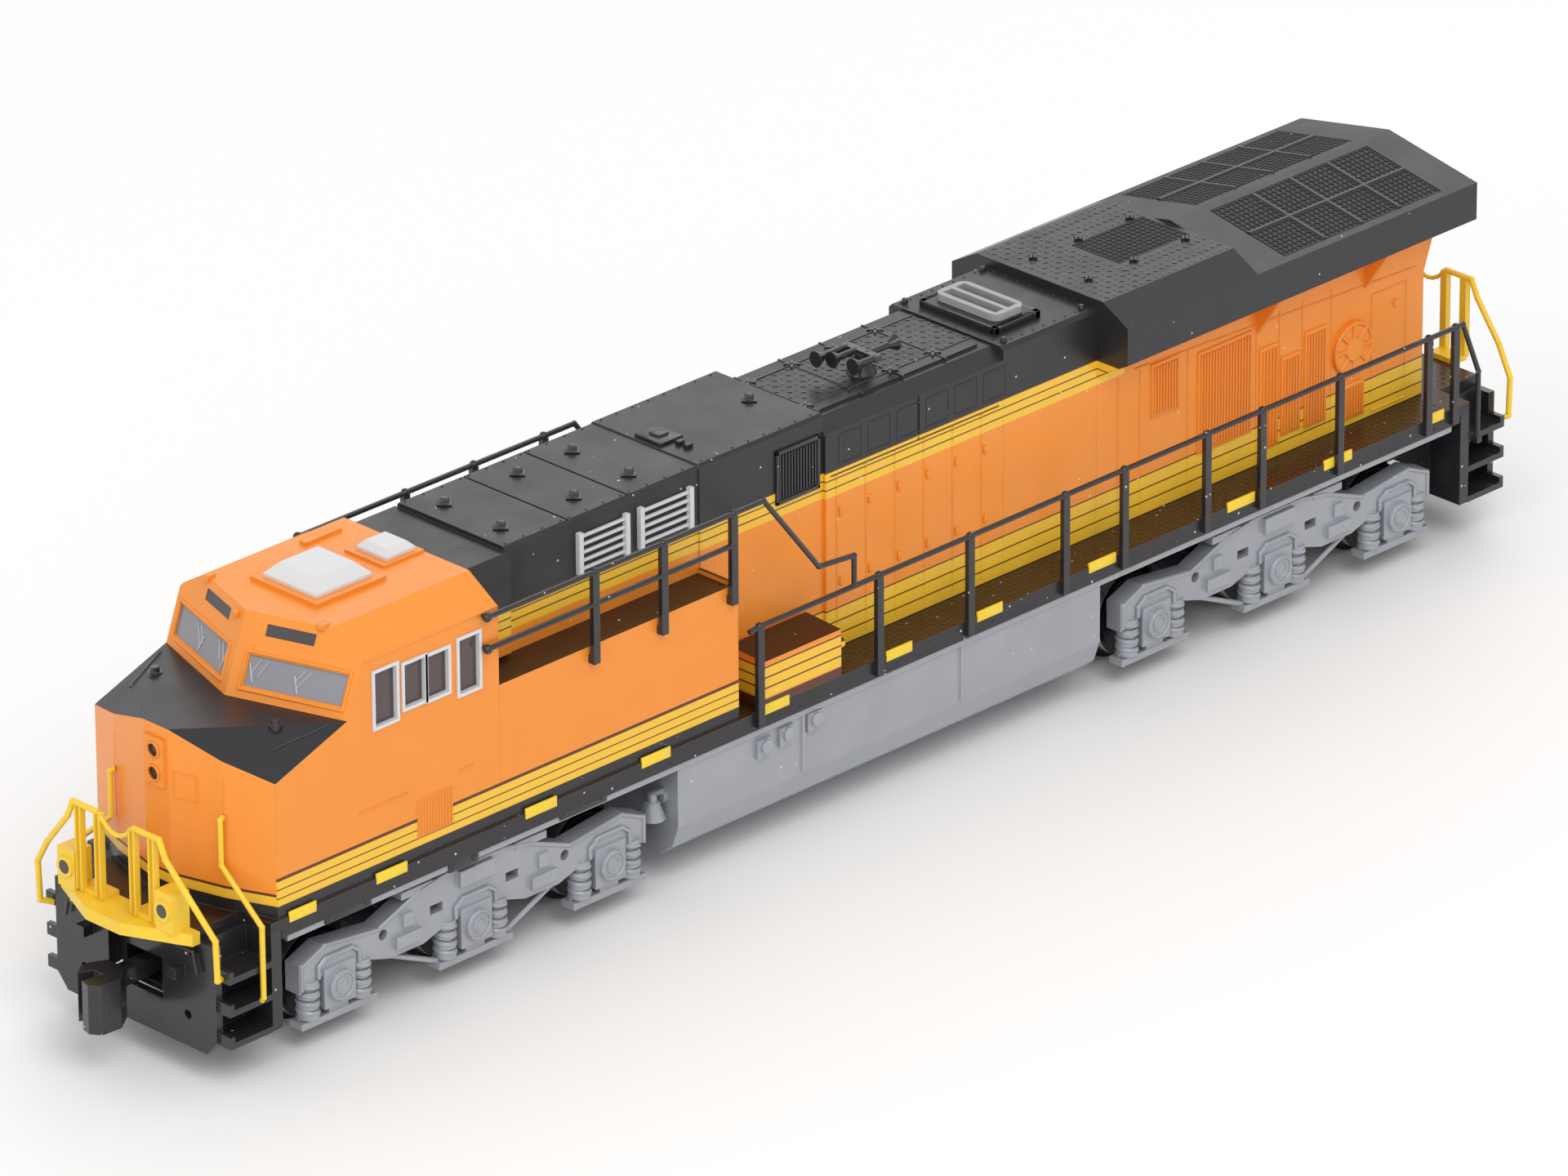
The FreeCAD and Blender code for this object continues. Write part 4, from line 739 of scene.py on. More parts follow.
# nose: door outline, seams, bezels of the lamps, knobs and ribs on the top
noseDetail = {
    "doorY": (1.6, 3.4), "doorZ": (18.7, 20.6), "seamY": 5.45, "seamZ": (14.6, 20.9), "line": 0.07,
    "lampZ": (21.76, 20.03), "lampRadius": 0.55, "knobX": 56.5, "knobY": 6.0, "knobRadius": 0.5, "knobHeight": 0.55,
    "rib": ((57.8, 7.1), (53.9, 8.3)),
}


def makeNose():
    plan = noseDetail
    mesh = bmesh.new()
    y0, y1 = plan["doorY"]
    z0, z1 = plan["doorZ"]
    corners = [(y0, z0), (y1, z0), (y1, z1), (y0, z1), (y0, z0)]
    door = [fromFront("cab_shell", y, z) for y, z in corners]
    addPipe(mesh, door, plan["line"], 6)
    for side in (1, -1):
        seam = [fromFront("cab_shell", side * plan["seamY"], z, -0.02) for z in rowOf(*plan["seamZ"], 4)]
        addPipe(mesh, seam, plan["line"] * 0.8, 6)
    finishPiece("noseDoorOutline", mesh, orangePart)
    mesh = bmesh.new()
    for z in plan["lampZ"]:
        face = fromFront("cab_shell", plan["lampRadius"] + 0.25, z)
        addPipe(mesh, ringOf(face.x + 0.05, 0.0, z, plan["lampRadius"], endOn=True), 0.1, 6)
    finishPiece("lampBezels", mesh, orangePart, smooth=60)
    mesh = bmesh.new()
    for side in (1, -1):
        foot = fromAbove("cab_shell", plan["knobX"], side * plan["knobY"])
        addRod(mesh, foot - Vector((0, 0, 0.2)), foot + Vector((0, 0, 0.18)), plan["knobRadius"], 16)
        addRod(mesh, foot + Vector((0, 0, 0.1)), foot + Vector((0, 0, plan["knobHeight"])),
               plan["knobRadius"] * 0.72, 16, plan["knobRadius"] * 0.6)
        rib = [fromAbove("cab_shell", x, side * y) for x, y in plan["rib"]]
        addPipe(mesh, rib, 0.1, 6)
    finishPiece("noseTopKnobs", mesh, blackPart)


makeNose()

# windscreen wipers and rims, moulded on the panes
wiperPlan = {
    "arms": [((1.9, 26.3), (1.35, 25.15)), ((2.5, 26.3), (1.9, 25.1)), ((5.7, 26.2), (4.75, 24.8)),
             ((5.2, 26.2), (4.55, 25.2))],
    "blades": [((1.15, 25.9), (1.6, 24.7)), ((4.5, 25.7), (4.95, 24.55))], "arm": 0.05, "blade": 0.075,
    "rim": (0.85, 8.5, 24.2, 26.7), "rimRadius": 0.13,
}


def makeWipers():
    mesh = bmesh.new()
    for side in (1, -1):
        for key, radius in (("arms", wiperPlan["arm"]), ("blades", wiperPlan["blade"])):
            for line in wiperPlan[key]:
                addPipe(mesh, [fromFront("windshields", side * y, z, 0.03) for y, z in line], radius, 6)
    finishPiece("windscreenWipers", mesh, (wiperGrey, "clear_plastic"))
    mesh = bmesh.new()
    y0, y1, z0, z1 = wiperPlan["rim"]
    for side in (1, -1):
        ring = [fromFront("cab_shell", side * y, z) for y, z in ((y0, z0), (y1, z0), (y1, z1), (y0, z1), (y0, z0))]
        addPipe(mesh, ring, wiperPlan["rimRadius"], 8)
    finishPiece("windscreenRims", mesh, orangePart, smooth=60)


makeWipers()

# cab: side louvre, ledge, gutters and roof blocks
cabDetail = {
    "louvreX": (43.2, 46.3), "louvreZ": (12.7, 15.4), "slatSpacing": 0.28, "ledgeX": (41.0, 51.8), "ledgeZ": 16.3,
    "gutterX": (39.2, 51.0), "gutterZ": 27.35, "roofBlocks": ((54.0, -0.9), (52.2, 5.65), (52.2, -5.65)),
}


def makeCab():
    plan = cabDetail
    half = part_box("cab_shell")[1].y / mm
    x0, x1 = plan["louvreX"]
    z0, z1 = plan["louvreZ"]
    middle = (z0 + z1) / 2
    slats("cabSideLouvres", bothSides([((x0, half, middle), (x1, half, middle))]), plan["slatSpacing"],
          (0.13, 0.22, z1 - z0), orangePart)
    mesh = bmesh.new()
    for side in (1, -1):
        addSideBlock(mesh, side, (x0 - 0.1, x1 + 0.1), (half - 0.06, half + 0.06), (z0 - 0.1, z1 + 0.1))
    finishPiece("cabLouvreBacks", mesh, orangePart, rounding=0.03)
    mesh = bmesh.new()
    for side in (1, -1):
        ys = (half - 0.05, half + 0.07)
        for xs in ((plan["ledgeX"][0], x0 - 0.8), (x1 + 0.8, plan["ledgeX"][1])):
            addSideBlock(mesh, side, xs, ys, (plan["ledgeZ"], plan["ledgeZ"] + 0.14))
        addSideBlock(mesh, side, plan["gutterX"], ys, (plan["gutterZ"], plan["gutterZ"] + 0.16))
    for x, y in plan["roofBlocks"]:
        foot = fromAbove("cab_shell", x - 0.6, y)
        addBlock(mesh, (x - 1.0, y - 0.25, foot.z - 0.25), (x - 0.2, y + 0.25, foot.z + 0.22))
    finishPiece("cabLedges", mesh, orangePart, rounding=0.04)


makeCab()
print("cab and nose detail made")

# front hood: lifting lugs, rivets, plates on the tall part and its louvre
hoodTop = {
    "lugX": (32.2, 25.2, 19.9), "lugY": 2.8, "lugSize": 0.62, "lugHeight": 0.5, "plateX": 14.2, "plateHalf": (1.3, 1.1),
    "rivetY": 4.95, "rivetRadius": 0.09, "rivetSpacing": 1.45, "louvreX": (4.3, 7.8), "louvreZ": (24.3, 27.6),
    "louvreSpacing": 0.27,
}


def makeFrontHood():
    plan = hoodTop
    mesh = bmesh.new()
    spots = [(x, side * plan["lugY"]) for x in plan["lugX"] for side in (1, -1)] + [(5.3, 0.0)]
    for x, y in spots:
        foot = fromAbove("front_hood", x, y)
        addRod(mesh, foot - Vector((0, 0, 0.1)), foot + Vector((0, 0, plan["lugHeight"])), plan["lugSize"], 4,
               plan["lugSize"] * 0.55)
        addRod(mesh, foot + Vector((0, 0, 0.05)), foot + Vector((0, 0, 0.12)), plan["lugSize"] * 1.25, 4)
    foot = fromAbove("front_hood", plan["plateX"], 0)
    wide, deep = plan["plateHalf"]
    addBlock(mesh, (foot.x - deep, -wide, foot.z - 0.1), (foot.x + deep, wide, foot.z + 0.22))
    addBlock(mesh, (foot.x - 0.5, -0.5, foot.z), (foot.x + 0.5, 0.5, foot.z + 0.4))
    for y in (1.9, 2.7):
        addBlock(mesh, (foot.x - 0.5, y - 0.2, foot.z - 0.1), (foot.x + 0.1, y + 0.2, foot.z + 0.3))
    finishPiece("hatchLugs", mesh, blackPart, rounding=0.04)
    lines = []
    for a, b in ((33.9, 28.6), (27.8, 22.8), (22.0, 16.8), (15.0, 4.2)):
        height = fromAbove("front_hood", (a + b) / 2, plan["rivetY"]).z
        lines.append(((a, plan["rivetY"], height), (b, plan["rivetY"], height)))
    rivets("hatchRivets", bothSides(lines), plan["rivetSpacing"], plan["rivetRadius"], blackPart)
    x0, x1 = plan["louvreX"]
    z0, z1 = plan["louvreZ"]
    face = fromLeft("front_hood", (x0 + x1) / 2, z1 + 0.9)
    middle = (z0 + z1) / 2
    slats("tallHoodLouvre", bothSides([((x0, face, middle), (x1, face, middle))]), plan["louvreSpacing"],
          (0.12, 0.3, z1 - z0), blackPart)
    mesh = bmesh.new()
    for side in (1, -1):
        addSideBlock(mesh, side, (x0 - 0.3, x1 + 0.3), (face - 0.1, face + 0.02), (z0 - 0.3, z1 + 0.3))
        for a, b, c, d in ((x0 - 0.4, z0 - 0.4, x1 + 0.4, z0 - 0.1), (x0 - 0.4, z1 + 0.1, x1 + 0.4, z1 + 0.4),
                           (x0 - 0.4, z0 - 0.4, x0 - 0.15, z1 + 0.4), (x1 + 0.15, z0 - 0.4, x1 + 0.4, z1 + 0.4)):
            addSideBlock(mesh, side, (a, c), (face - 0.1, face + 0.2), (b, d))
    finishPiece("tallHoodLouvreFrame", mesh, blackPart, rounding=0.04)


makeFrontHood()

# engine hood: doors with latches along both sides, ribs and treadplate on top
engineHood = {
    "doorSpacing": 2.92, "doorFront": 2.4, "doorCount": 6, "doorZ": (11.6, 24.4), "seam": 0.07, "upperZ": (25.2, 27.4),
    "latchZ": (16.2, 21.6), "gap": 0.35, "crossX": (2.6, -1.8, -5.9, -10.2), "topRibY": 2.85,
    "topX": (-14.0, 3.0), "lug": (0.36, 0.11, 0.09), "pitch": 0.66,
}


def makeEngineHood():
    plan = engineHood
    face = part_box("engine_hood")[1].y / mm
    z0, z1 = plan["doorZ"]
    seams = []
    panels = []
    for k in range(plan["doorCount"]):
        x = plan["doorFront"] - k * plan["doorSpacing"]
        seams.append(((x, face, z0), (x, face, z1)))
        panels += sideOutline(x - plan["gap"], x - plan["doorSpacing"] + plan["gap"], face, *plan["upperZ"])
    seams.append(((plan["topX"][1], face, z1 + 0.1), (plan["topX"][0], face, z1 + 0.1)))
    wires("engineDoorSeams", bothSides(seams), plan["seam"], hoodPart)
    wires("engineUpperPanels", bothSides(panels), plan["seam"], blackPart)
    mesh = bmesh.new()
    for side in (1, -1):
        for k in range(plan["doorCount"]):
            x = plan["doorFront"] - k * plan["doorSpacing"] - plan["gap"]
            for z in plan["latchZ"]:
                addSideBlock(mesh, side, (x - 0.14, x + 0.14), (face - 0.05, face + 0.2), (z - 0.32, z + 0.32))
    finishPiece("engineDoorLatches", mesh, hoodPart, rounding=0.05)
    top = fromAbove("engine_hood", -9.5, 2.0).z
    ribs = [((plan["topX"][0], plan["topRibY"], top), (plan["topX"][1], plan["topRibY"], top))]
    cross = [((x, -4.2, top), (x, 4.2, top)) for x in plan["crossX"]]
    wires("engineTopSeams", bothSides(ribs) + cross, 0.09, blackPart)
    tread("engineTopTread", (-13.8, -2.5), (2.3, 2.5), top, plan["pitch"], plan["lug"], blackPart)
    mesh = bmesh.new()
    for x in plan["crossX"]:
        for y in (-plan["topRibY"], plan["topRibY"]):
            for angle in (45, 135):
                turn = Matrix.Rotation(math.radians(angle), 3, "Z")
                addBlock(mesh, (x - 0.6, y - 0.09, top - 0.05), (x + 0.6, y + 0.09, top + 0.14), turn)
    finishPiece("engineTopClamps", mesh, blackPart)


makeEngineHood()

# exhaust box: base of the stack, rivets and corner lugs
exhaustDetail = {"baseX": (-20.3, -15.6), "baseHalf": 3.75, "baseRise": 0.5, "rivetY": 5.0}


def makeExhaust():
    plan = exhaustDetail
    top = fromAbove("exhaust_housing", -22.6, 4.6).z
    x0, x1 = plan["baseX"]
    half = plan["baseHalf"]
    mesh = bmesh.new()
    frameParts = ((x0, -half, x1, -half + 0.5), (x0, half - 0.5, x1, half),
                  (x0, -half, x0 + 0.5, half), (x1 - 0.5, -half, x1, half))
    for a, b, c, d in frameParts:
        addBlock(mesh, (a, b, top - 0.1), (c, d, top + plan["baseRise"]))
    for x in (-15.3, -23.3):
        for side in (1, -1):
            addRod(mesh, (x, side * 4.9, top - 0.05), (x, side * 4.9, top + 0.35), 0.3, 8, 0.2)
    finishPiece("stackBase", mesh, blackPart, rounding=0.05)
    lines = [((-14.9, plan["rivetY"], top), (-23.7, plan["rivetY"], top))]
    cross = [((-14.9, -4.2, top), (-14.9, 4.2, top)), ((-23.7, -4.2, top), (-23.7, 4.2, top))]
    rivets("exhaustRivets", bothSides(lines) + cross, 1.1, 0.09, blackPart)


makeExhaust()
print("hood tops made")

# radiator: woven screens, treadplate strips, side louvres, fan cover, door, gussets under the wings
radiatorPlan = {
    "frontScreen": (-37.2, -30.1, -2.3, 2.3), "rearScreens": [(-57.8, -41.4, 0.8, 4.3), (-57.8, -41.4, 4.6, 8.0)],
    "weave": 0.5, "wire": 0.07, "barX": (-45.6, -49.6, -53.6), "lug": (0.34, 0.11, 0.08), "pitch": 0.62,
}


def screenLines(nodeName, area, weave, sign=1):
    x0, x1, y0, y1 = area
    lines = []
    for y in rowOf(y0, y1, max(2, round((y1 - y0) / weave) + 1)):
        lines.append(tuple(fromAbove(nodeName, x, sign * y, 0.02) for x in (x0, x1)))
    for x in rowOf(x0, x1, max(2, round((x1 - x0) / weave) + 1)):
        lines.append(tuple(fromAbove(nodeName, x, sign * y, 0.02) for y in (y0, y1)))
    return lines


def makeRadiatorTop():
    plan = radiatorPlan
    lines = screenLines("radiator_screens", plan["frontScreen"], plan["weave"])
    for area in plan["rearScreens"]:
        for sign in (1, -1):
            lines += screenLines("radiator_screens", area, plan["weave"], sign)
    wires("radiatorWeave", lines, plan["wire"], (meshBlack, "mesh_black"))
    bars = []
    for x in plan["barX"]:
        for sign in (1, -1):
            bars.append(tuple(fromAbove("radiator_screens", x, sign * y, 0.05) for y in (0.8, 8.0)))
    for sign in (1, -1):
        bars.append(tuple(fromAbove("radiator_screens", x, sign * 4.45, 0.05) for x in (-57.9, -41.3)))
    wires("radiatorScreenBars", bars, 0.17, blackPart)
    top = fromAbove("radiator_housing", -27.0, 3.0).z
    for name, low, high in (("treadFront", (-29.2, -5.9), (-24.9, 5.9)), ("treadLeft", (-37.4, 2.9), (-29.4, 5.9)),
                            ("treadRight", (-37.4, -5.9), (-29.4, -2.9))):
        tread(name, low, high, top, plan["pitch"], plan["lug"], blackPart)
    mesh = bmesh.new()
    for side in (1, -1):
        for x in (-26.3, -31.0, -36.4):
            foot = fromAbove("radiator_housing", x, side * 2.75)
            for k in range(2):
                turn = Matrix.Rotation(math.pi / 2 * k, 3, "Z")
                addBlock(mesh, (foot.x - 0.35, foot.y - 0.09, foot.z - 0.05),
                         (foot.x + 0.35, foot.y + 0.09, foot.z + 0.2), turn)
    finishPiece("radiatorLatches", mesh, blackPart)


makeRadiatorTop()

sidePanels = {
    "louvres": [(-32.4, -30.0, 18.7, 22.4), (-40.1, -34.9, 14.3, 21.8), (-42.9, -41.5, 12.4, 20.0),
                (-45.3, -43.8, 12.9, 18.6), (-48.1, -46.3, 12.7, 19.8), (-52.2, -50.4, 11.9, 14.2)],
    "slatSpacing": 0.3, "margin": 0.28, "fan": (-51.1, 17.3), "fanRadius": 2.1, "door": (-57.0, -53.3, 11.5, 20.8),
    "seamsX": (-26.3, -28.6, -33.6, -40.9, -43.35, -45.8, -48.9),
}


def makeSidePanels():
    plan = sidePanels
    face = fromLeft("radiator_housing", -56.0, 18.0)
    mesh = bmesh.new()
    for k, (x0, x1, z0, z1) in enumerate(plan["louvres"]):
        middle = (z0 + z1) / 2
        slats("sideLouvre%d" % (k + 1), bothSides([((x0, face, middle), (x1, face, middle))]), plan["slatSpacing"],
              (0.14, 0.5, z1 - z0), orangeHood)
        for side in (1, -1):
            addSideBlock(mesh, side, (x0 - plan["margin"], x1 + plan["margin"]), (face - 0.1, face + 0.13),
                         (z0 - plan["margin"], z1 + plan["margin"]))
    finishPiece("sideLouvreBacks", mesh, orangeHood, rounding=0.05)
    x0, x1, z0, z1 = plan["door"]
    outline = sideOutline(x0, x1, face, z0, z1) + [((-58.0, face, 21.6), (-28.0, face, 22.9))]
    outline += [((x, face, 11.4), (x, face, 22.6)) for x in plan["seamsX"]]
    wires("radiatorSideSeams", bothSides(outline), 0.07, hoodPart)
    mesh = bmesh.new()
    cx, cz = plan["fan"]
    radius = plan["fanRadius"]
    for side in (1, -1):
        for start, end, size in ((-0.1, 0.25, radius), (0.2, 0.45, radius * 0.45)):
            addRod(mesh, (cx, side * (face + start), cz), (cx, side * (face + end), cz), size, 32, size * 0.94)
        addPipe(mesh, ringOf(cx, side * (face + 0.28), cz, radius * 0.93, 33), 0.16, 6)
        for turn in rowOf(0.0, 1.75 * math.pi, 8):
            inner, outer = [(cx + radius * share * math.cos(turn), side * (face + 0.3),
                             cz + radius * share * math.sin(turn)) for share in (0.4, 0.95)]
            addRod(mesh, inner, outer, 0.15, 6)
    finishPiece("fanCovers", mesh, orangeHood)
    mesh = bmesh.new()
    for side in (1, -1):
        addRod(mesh, (-55.9, side * (face - 0.1), 19.4), (-55.9, side * (face + 0.15), 19.4), 0.32, 16)
        for x in (-41.0, -52.6):
            foot, tip = side * (face - 0.1), side * 8.2
            addPlate(mesh, [(x - 0.14, foot, 21.4), (x - 0.14, foot, 24.9), (x - 0.14, tip, 25.2)], (0.28, 0, 0))
    finishPiece("wingGussets", mesh, orangeHood)


makeSidePanels()
print("radiator made")

# sill: reflective patches, jacking blocks and rivets on both sides
sillPlan = {
    "patches": [(56.1, 58.6), (47.6, 50.5), (33.4, 36.4), (22.4, 25.2), (10.7, 13.2), (-1.6, 1.0), (-10.8, -8.2),
                (-22.5, -19.7), (-37.1, -34.2), (-45.6, -44.5), (-47.5, -46.6), (-57.5, -56.2)],
    "patchZ": (10.62, 11.42), "skirts": [(50.9, 55.2, 9.2), (40.8, 43.6, 9.0), (28.5, 33.0, 9.3)],
    "rivetRuns": ((-57.0, -24.0), (-20.0, 12.0), (24.0, 36.0)), "rivetYZ": (9.19, 10.1),
}


def makeSill():
    plan = sillPlan
    z0, z1 = plan["patchZ"]
    mesh = bmesh.new()
    for side in (1, -1):
        for x0, x1 in plan["patches"]:
            face = sideFace((x0 + x1) / 2, (z0 + z1) / 2)
            addSideBlock(mesh, side, (x0, x1), (face - 0.1, face + 0.05), (z0, z1))
    finishPiece("reflectorPatches", mesh, (patchYellow, "yellow_plastic"), rounding=0.03)
    mesh = bmesh.new()
    for side in (1, -1):
        for x0, x1, z in plan["skirts"]:
            addSideBlock(mesh, side, (x0, x1), (8.75, 9.15), (z, 10.6))
            for x in (x0 + 0.4, x1 - 0.4):
                addSideBlock(mesh, side, (x - 0.2, x + 0.2), (9.1, 9.24), (z + 0.2, z + 0.6))
    finishPiece("sillSkirts", mesh, blackPart, rounding=0.04)
    y, z = plan["rivetYZ"]
    lines = [((x0 + 0.5, y, z), (x1 - 0.5, y, z)) for x0, x1 in plan["rivetRuns"]]
    rivets("sillRivets", bothSides(lines), 1.9, 0.08, blackPart)


def sideFace(x, z):
    reach = []
    for name in ("walkway", "cab_shell", "front_hood"):
        try:
            reach.append(fromLeft(name, x, z))
        except ValueError:
            continue
    return max(reach)


makeSill()

# walkways and steps: treadplate on the floors
deckPlan = {"lug": (0.3, 0.1, 0.07), "pitch": 0.56, "runs": [(-58.0, 5.0, 6.1, 8.9)]}


def makeDecks():
    plan = deckPlan
    for x0, x1, y0, y1 in plan["runs"]:
        top = onSurface("walkway", ((x0 + x1) / 2, (y0 + y1) / 2, 12.5), (0, 0, -1)).z
        for name, low, high in (("walkTreadLeft", (x0, y0), (x1, y1)), ("walkTreadRight", (x0, -y1), (x1, -y0))):
            tread(name, low, high, top, plan["pitch"], plan["lug"], (deckBrown, "black_plastic"))
    top = onSurface("walkway", (-63.0, 0.5, 12.5), (0, 0, -1)).z
    tread("rearDeckTread", (-64.0, -5.5), (-60.2, 5.5), top, plan["pitch"], plan["lug"], (deckBrown, "black_plastic"))


makeDecks()

# railings: collars where rails meet posts
railPlan = {"posts": (13.78, 1.92, -7.27, -17.02, -23.13, -31.77, -37.6, -45.92, -55.49, -58.4),
            "upperPosts": (29.7, 23.1, 16.3), "z": 17.73, "upperZ": (27.2, 24.8), "collar": 0.33, "y": 9.4}


def makeCollars():
    plan = railPlan
    mesh = bmesh.new()
    spots = [(x, plan["z"]) for x in plan["posts"]] + [(x, z) for x in plan["upperPosts"] for z in plan["upperZ"]]
    for side in (1, -1):
        for x, z in spots:
            bmesh.ops.create_uvsphere(mesh, u_segments=12, v_segments=8, radius=plan["collar"] * mm,
                                      matrix=Matrix.Translation(Vector((x, side * plan["y"], z)) * mm))
    finishPiece("railCollars", mesh, blackPart, smooth=60)


makeCollars()

# end walls: rear lamps, rear door and grab irons, lifting lever at both couplers
endPlan = {"rearLampZ": (22.6, 20.9), "lampRadius": 0.55, "doorHalf": 2.0, "doorZ": (12.0, 19.6), "leverZ": 9.6}


def makeEnds():
    plan = endPlan
    mesh = bmesh.new()
    wall = onSurface("radiator_housing", (-75, 2.6, 18.0), (1, 0, 0)).x
    lampWall = onSurface("radiator_housing", (-75, 0.0, 21.8), (1, 0, 0)).x
    addBlock(mesh, (lampWall - 0.5, -0.95, 19.9), (lampWall + 0.6, 0.95, 23.6))
    finishPiece("rearLampBox", mesh, orangePart, rounding=0.12)
    mesh = bmesh.new()
    for z in plan["rearLampZ"]:
        addRod(mesh, (lampWall - 0.4, 0, z), (lampWall - 0.56, 0, z), plan["lampRadius"], 24, plan["lampRadius"] * 0.8)
    finishPiece("rearLampLenses", mesh, (lensDark, "clear_plastic"), smooth=50)
    z0, z1 = plan["doorZ"]
    half = plan["doorHalf"]
    lines = [((wall, -half, z0), (wall, half, z0)), ((wall, -half, z1), (wall, half, z1)),
             ((wall, -half, z0), (wall, -half, z1)), ((wall, half, z0), (wall, half, z1))]
    wires("rearDoorOutline", lines, 0.08, hoodPart)
    mesh = bmesh.new()
    for side in (1, -1):
        for z in (13.0, 14.6, 16.2, 17.8, 19.4):
            y0, y1 = side * 3.2, side * 4.9
            points = [(wall + 0.05, y0, z), (wall - 0.45, y0, z), (wall - 0.45, y1, z), (wall + 0.05, y1, z)]
            addPipe(mesh, points, 0.11, 6)
    finishPiece("rearGrabIrons", mesh, (railYellow, "yellow_plastic"), smooth=60)
    for name, end in (("frontLever", 1), ("rearLever", -1)):
        mesh = bmesh.new()
        x = end * 64.75
        points = [(x, -6.6, 8.0), (x, -6.2, plan["leverZ"]), (x + end * 0.1, -1.2, plan["leverZ"]),
                  (x + end * 0.9, 0.0, 9.1), (x + end * 0.1, 1.2, plan["leverZ"]), (x, 6.2, plan["leverZ"]),
                  (x, 6.6, 8.0)]
        addPipe(mesh, points, 0.14, 8)
        for side in (1, -1):
            for y in (2.6, 5.8):
                addSideBlock(mesh, side, sorted((end * 64.3, end * 64.95)), (y - 0.2, y + 0.2),
                             (plan["leverZ"] - 0.4, plan["leverZ"] + 0.2))
        finishPiece(name, mesh, blackPart, smooth=50)


makeEnds()
print("ends made")

# trucks: spring coils, rings on the journal boxes, raised edge of the frames, brake bars and lugs
truckPlan = {
    "springFoot": 2.0, "springHeight": 3.0, "springRadius": 0.7, "springWire": 0.2, "springTurns": 4.6,
    "springY": 7.8, "springAside": 2.4, "axleAt": 0.0129, "pivotAt": 0.0405, "journalZ": 3.885, "journalY": 8.8,
    "rings": ((1.0, 0.13), (0.55, 0.1)), "frameY": 8.3, "edge": 0.17,
    "top": [(-16.3, 4.4), (-16.3, 6.3), (-14.2, 7.2), (-9.1, 6.6), (-5.2, 8.1), (-2.6, 8.6), (2.6, 8.6), (5.2, 8.1),
            (9.1, 6.6), (14.2, 7.2), (16.3, 6.3), (16.3, 4.4)],
    "arch": [(-1.9, 4.9), (-1.9, 5.75), (-1.2, 6.25), (1.2, 6.25), (1.9, 5.75), (1.9, 4.9)],
    "bar": ((3.3, 2.0), (8.9, 4.5)), "barWidth": 0.2, "lugX": 5.4, "lugZ": (8.0, 8.85),
}


# a coil of round wire standing on every guide point
def buildSpringTree():
    tree, given, out = geometryTree("springCoils", [
        ("Radius", "Float"), ("Height", "Float"), ("Turns", "Float"), ("Wire", "Float"), ("Material", "Material")])
    spiral = addNode(tree, "GeometryNodeCurveSpiral")
    spiral.inputs["Resolution"].default_value = 14
    feed(tree, given["Turns"], spiral.inputs["Rotations"])
    feed(tree, given["Radius"], spiral.inputs["Start Radius"])
    feed(tree, given["Radius"], spiral.inputs["End Radius"])
    feed(tree, given["Height"], spiral.inputs["Height"])
    placed = placeAt(tree, given["Geometry"], sweep(tree, spiral.outputs[0], given["Wire"], 7))
    closeTree(tree, given, out, placed.outputs[0])
    return tree


springCoils = buildSpringTree()


def makeSprings(name, pivot, body):
    plan = truckPlan
    points = []
    for side in (1, -1):
        for axle in (-1, 0, 1):
            for aside in (-1, 1):
                x = pivot + axle * plan["axleAt"] / mm + aside * plan["springAside"]
                points.append(Vector((x, side * plan["springY"], plan["springFoot"])) * mm)
    guide = bpy.data.meshes.new("guide")
    guide.from_pydata(points, [], [])
    values = {"Radius": plan["springRadius"] * mm, "Height": plan["springHeight"] * mm,
              "Turns": plan["springTurns"], "Wire": plan["springWire"] * mm}
    runTree(name, springCoils, guide, values, silverPart, body)


def makeTruck(end, sign):
    plan = truckPlan
    body = end + "_truck"
    pivot = sign * plan["pivotAt"] / mm
    makeSprings(end + "TruckSprings", pivot, body)
    rings, edges, bars = bmesh.new(), bmesh.new(), bmesh.new()
    for side in (1, -1):
        faceY = side * plan["frameY"]
        addPipe(edges, [(pivot + x, faceY, z) for x, z in plan["top"]], plan["edge"], 6)
        for axle in (-1, 0, 1):
            x = pivot + axle * plan["axleAt"] / mm
            for radius, thick in plan["rings"]:
                addPipe(rings, ringOf(x, side * plan["journalY"], plan["journalZ"], radius), thick, 6)
            addPipe(edges, [(x + u, side * (plan["frameY"] + 0.1), z) for u, z in plan["arch"]], plan["edge"], 6)
        for way in (1, -1):
            start, stop = [(pivot + way * u, side * 7.9, z) for u, z in plan["bar"]]
            addRod(bars, start, stop, plan["barWidth"], 6)
            middle = pivot + way * plan["lugX"]
            addSideBlock(bars, side, (middle - 1.5, middle + 1.5), (7.3, 8.35),
                         (plan["lugZ"][0], plan["lugZ"][1] - 0.3))
            for x in rowOf(middle - 1.2, middle + 1.2, 4):
                addRod(bars, (x, side * 7.8, plan["lugZ"][1] - 0.4), (x, side * 7.8, plan["lugZ"][1]), 0.3, 8)
    finishPiece(end + "TruckRings", rings, silverPart, body, smooth=60)
    finishPiece(end + "TruckEdges", edges, silverPart, body, smooth=60)
    finishPiece(end + "TruckBars", bars, silverPart, body)


makeTruck("front", 1)
makeTruck("rear", -1)
print("truck detail made")

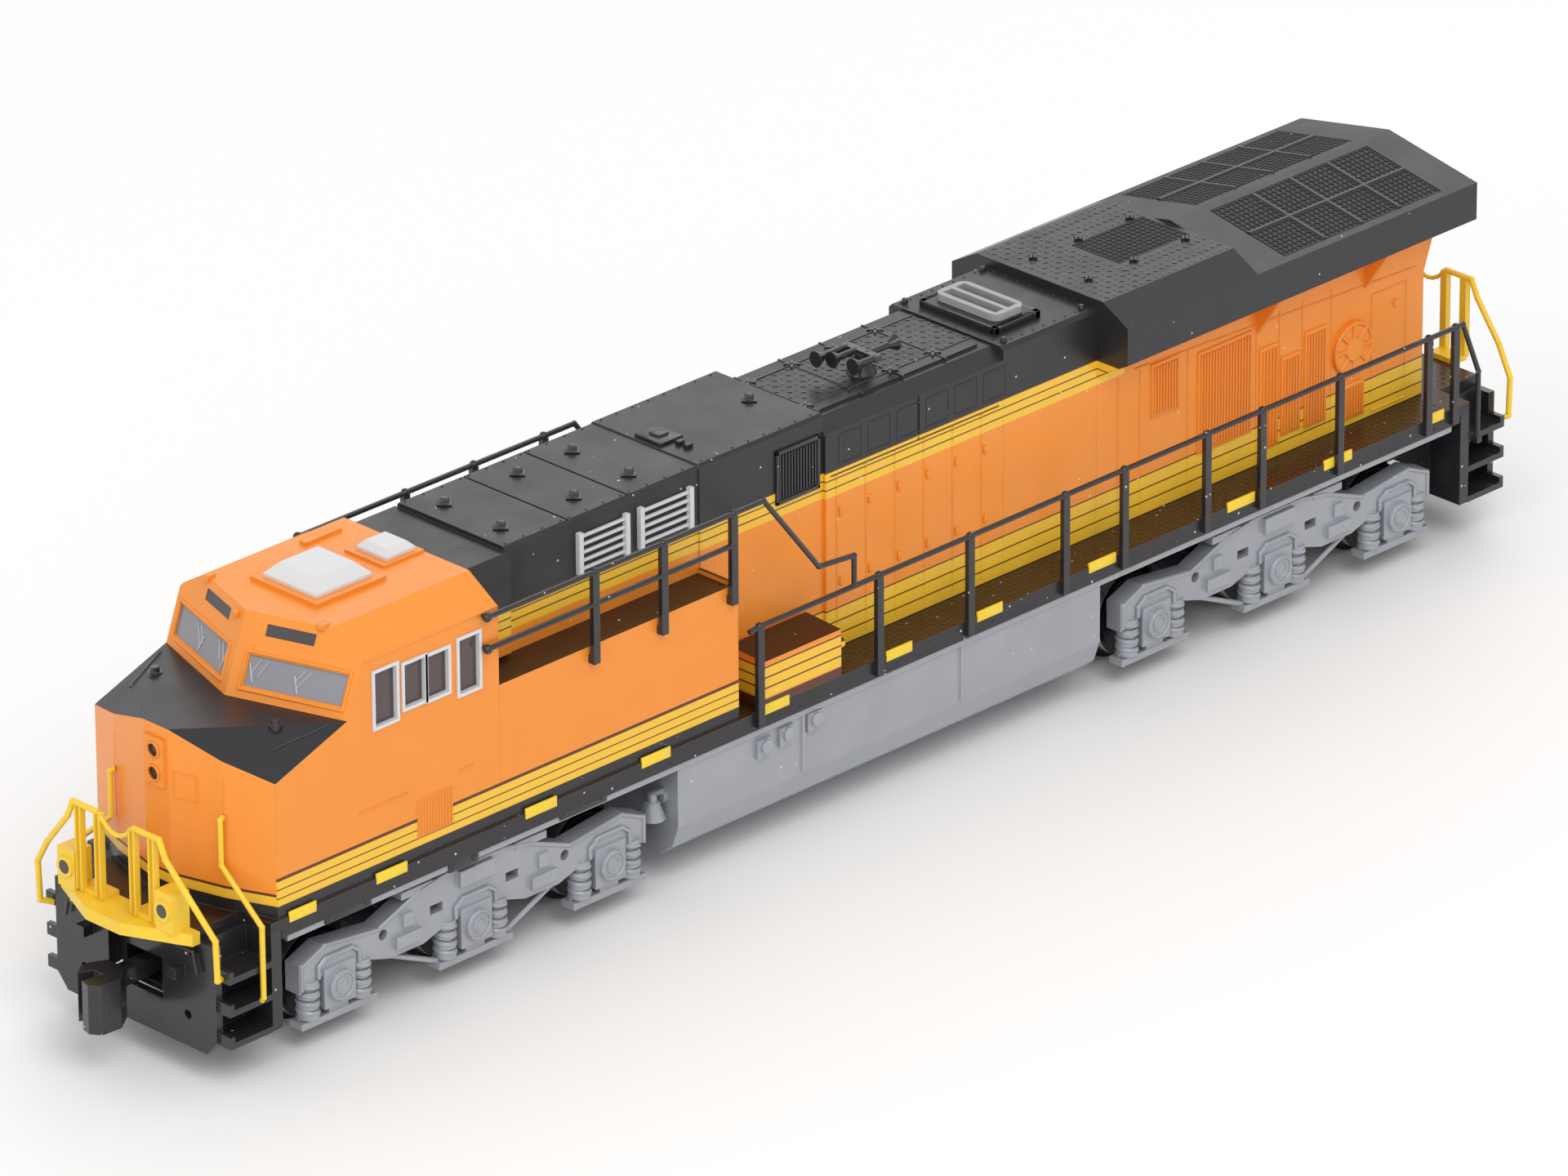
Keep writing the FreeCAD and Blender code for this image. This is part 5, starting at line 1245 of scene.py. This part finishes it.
# camera, floor and light
stagePlan = {
    "eye": (0.5748, 0.5727, 0.3898), "right": (-0.70529, 0.70890, -0.00523), "up": (-0.30188, -0.29365, 0.90700),
    "back": (0.64144, 0.64127, 0.42111), "lens": 289.6, "floorSize": 6.0, "floorDrop": 0.0004,
    "lamps": (("keyLight", (0.35, 0.75, 0.95), 0.7, 5.5), ("fillLight", (0.95, 0.15, 0.55), 0.8, 2.2),
              ("backLight", (-0.8, -0.5, 0.8), 0.8, 2.2)), "worldLight": 0.72,
}


def makeStage():
    plan = stagePlan
    floorMaterial, tree, shader, position = startMaterial("paleFloor")
    shader.inputs["Base Color"].default_value = (0.92, 0.92, 0.92, 1)
    shader.inputs["Roughness"].default_value = 0.75
    mesh = bmesh.new()
    bmesh.ops.create_grid(mesh, x_segments=1, y_segments=1, size=plan["floorSize"] / 2)
    data = bpy.data.meshes.new("floor")
    mesh.to_mesh(data)
    mesh.free()
    floor = bpy.data.objects.new("floor", data)
    floor.location.z = -plan["floorDrop"]
    data.materials.append(floorMaterial)
    bpy.context.scene.collection.objects.link(floor)
    for name, place, size, power in plan["lamps"]:
        lamp = bpy.data.lights.new(name, "AREA")
        lamp.size = size
        lamp.energy = power
        holder = bpy.data.objects.new(name, lamp)
        holder.location = place
        holder.rotation_euler = (-Vector(place)).to_track_quat("-Z", "Y").to_euler()
        bpy.context.scene.collection.objects.link(holder)
    world = bpy.data.worlds.new("studio")
    world.use_nodes = True
    world.node_tree.nodes["Background"].inputs[0].default_value = (1.0, 1.0, 1.0, 1)
    world.node_tree.nodes["Background"].inputs[1].default_value = plan["worldLight"]
    bpy.context.scene.world = world
    bpy.context.scene.view_settings.view_transform = "Standard"
    camera = bpy.data.objects.new("camera", bpy.data.cameras.new("camera"))
    turn = Matrix((plan["right"], plan["up"], plan["back"])).transposed()
    camera.matrix_world = Matrix.Translation(plan["eye"]) @ turn.to_4x4()
    camera.data.lens = plan["lens"]
    camera.data.sensor_width = 36.0
    camera.data.clip_start = 0.01
    camera.data.clip_end = 20.0
    bpy.context.scene.collection.objects.link(camera)
    bpy.context.scene.camera = camera


makeStage()
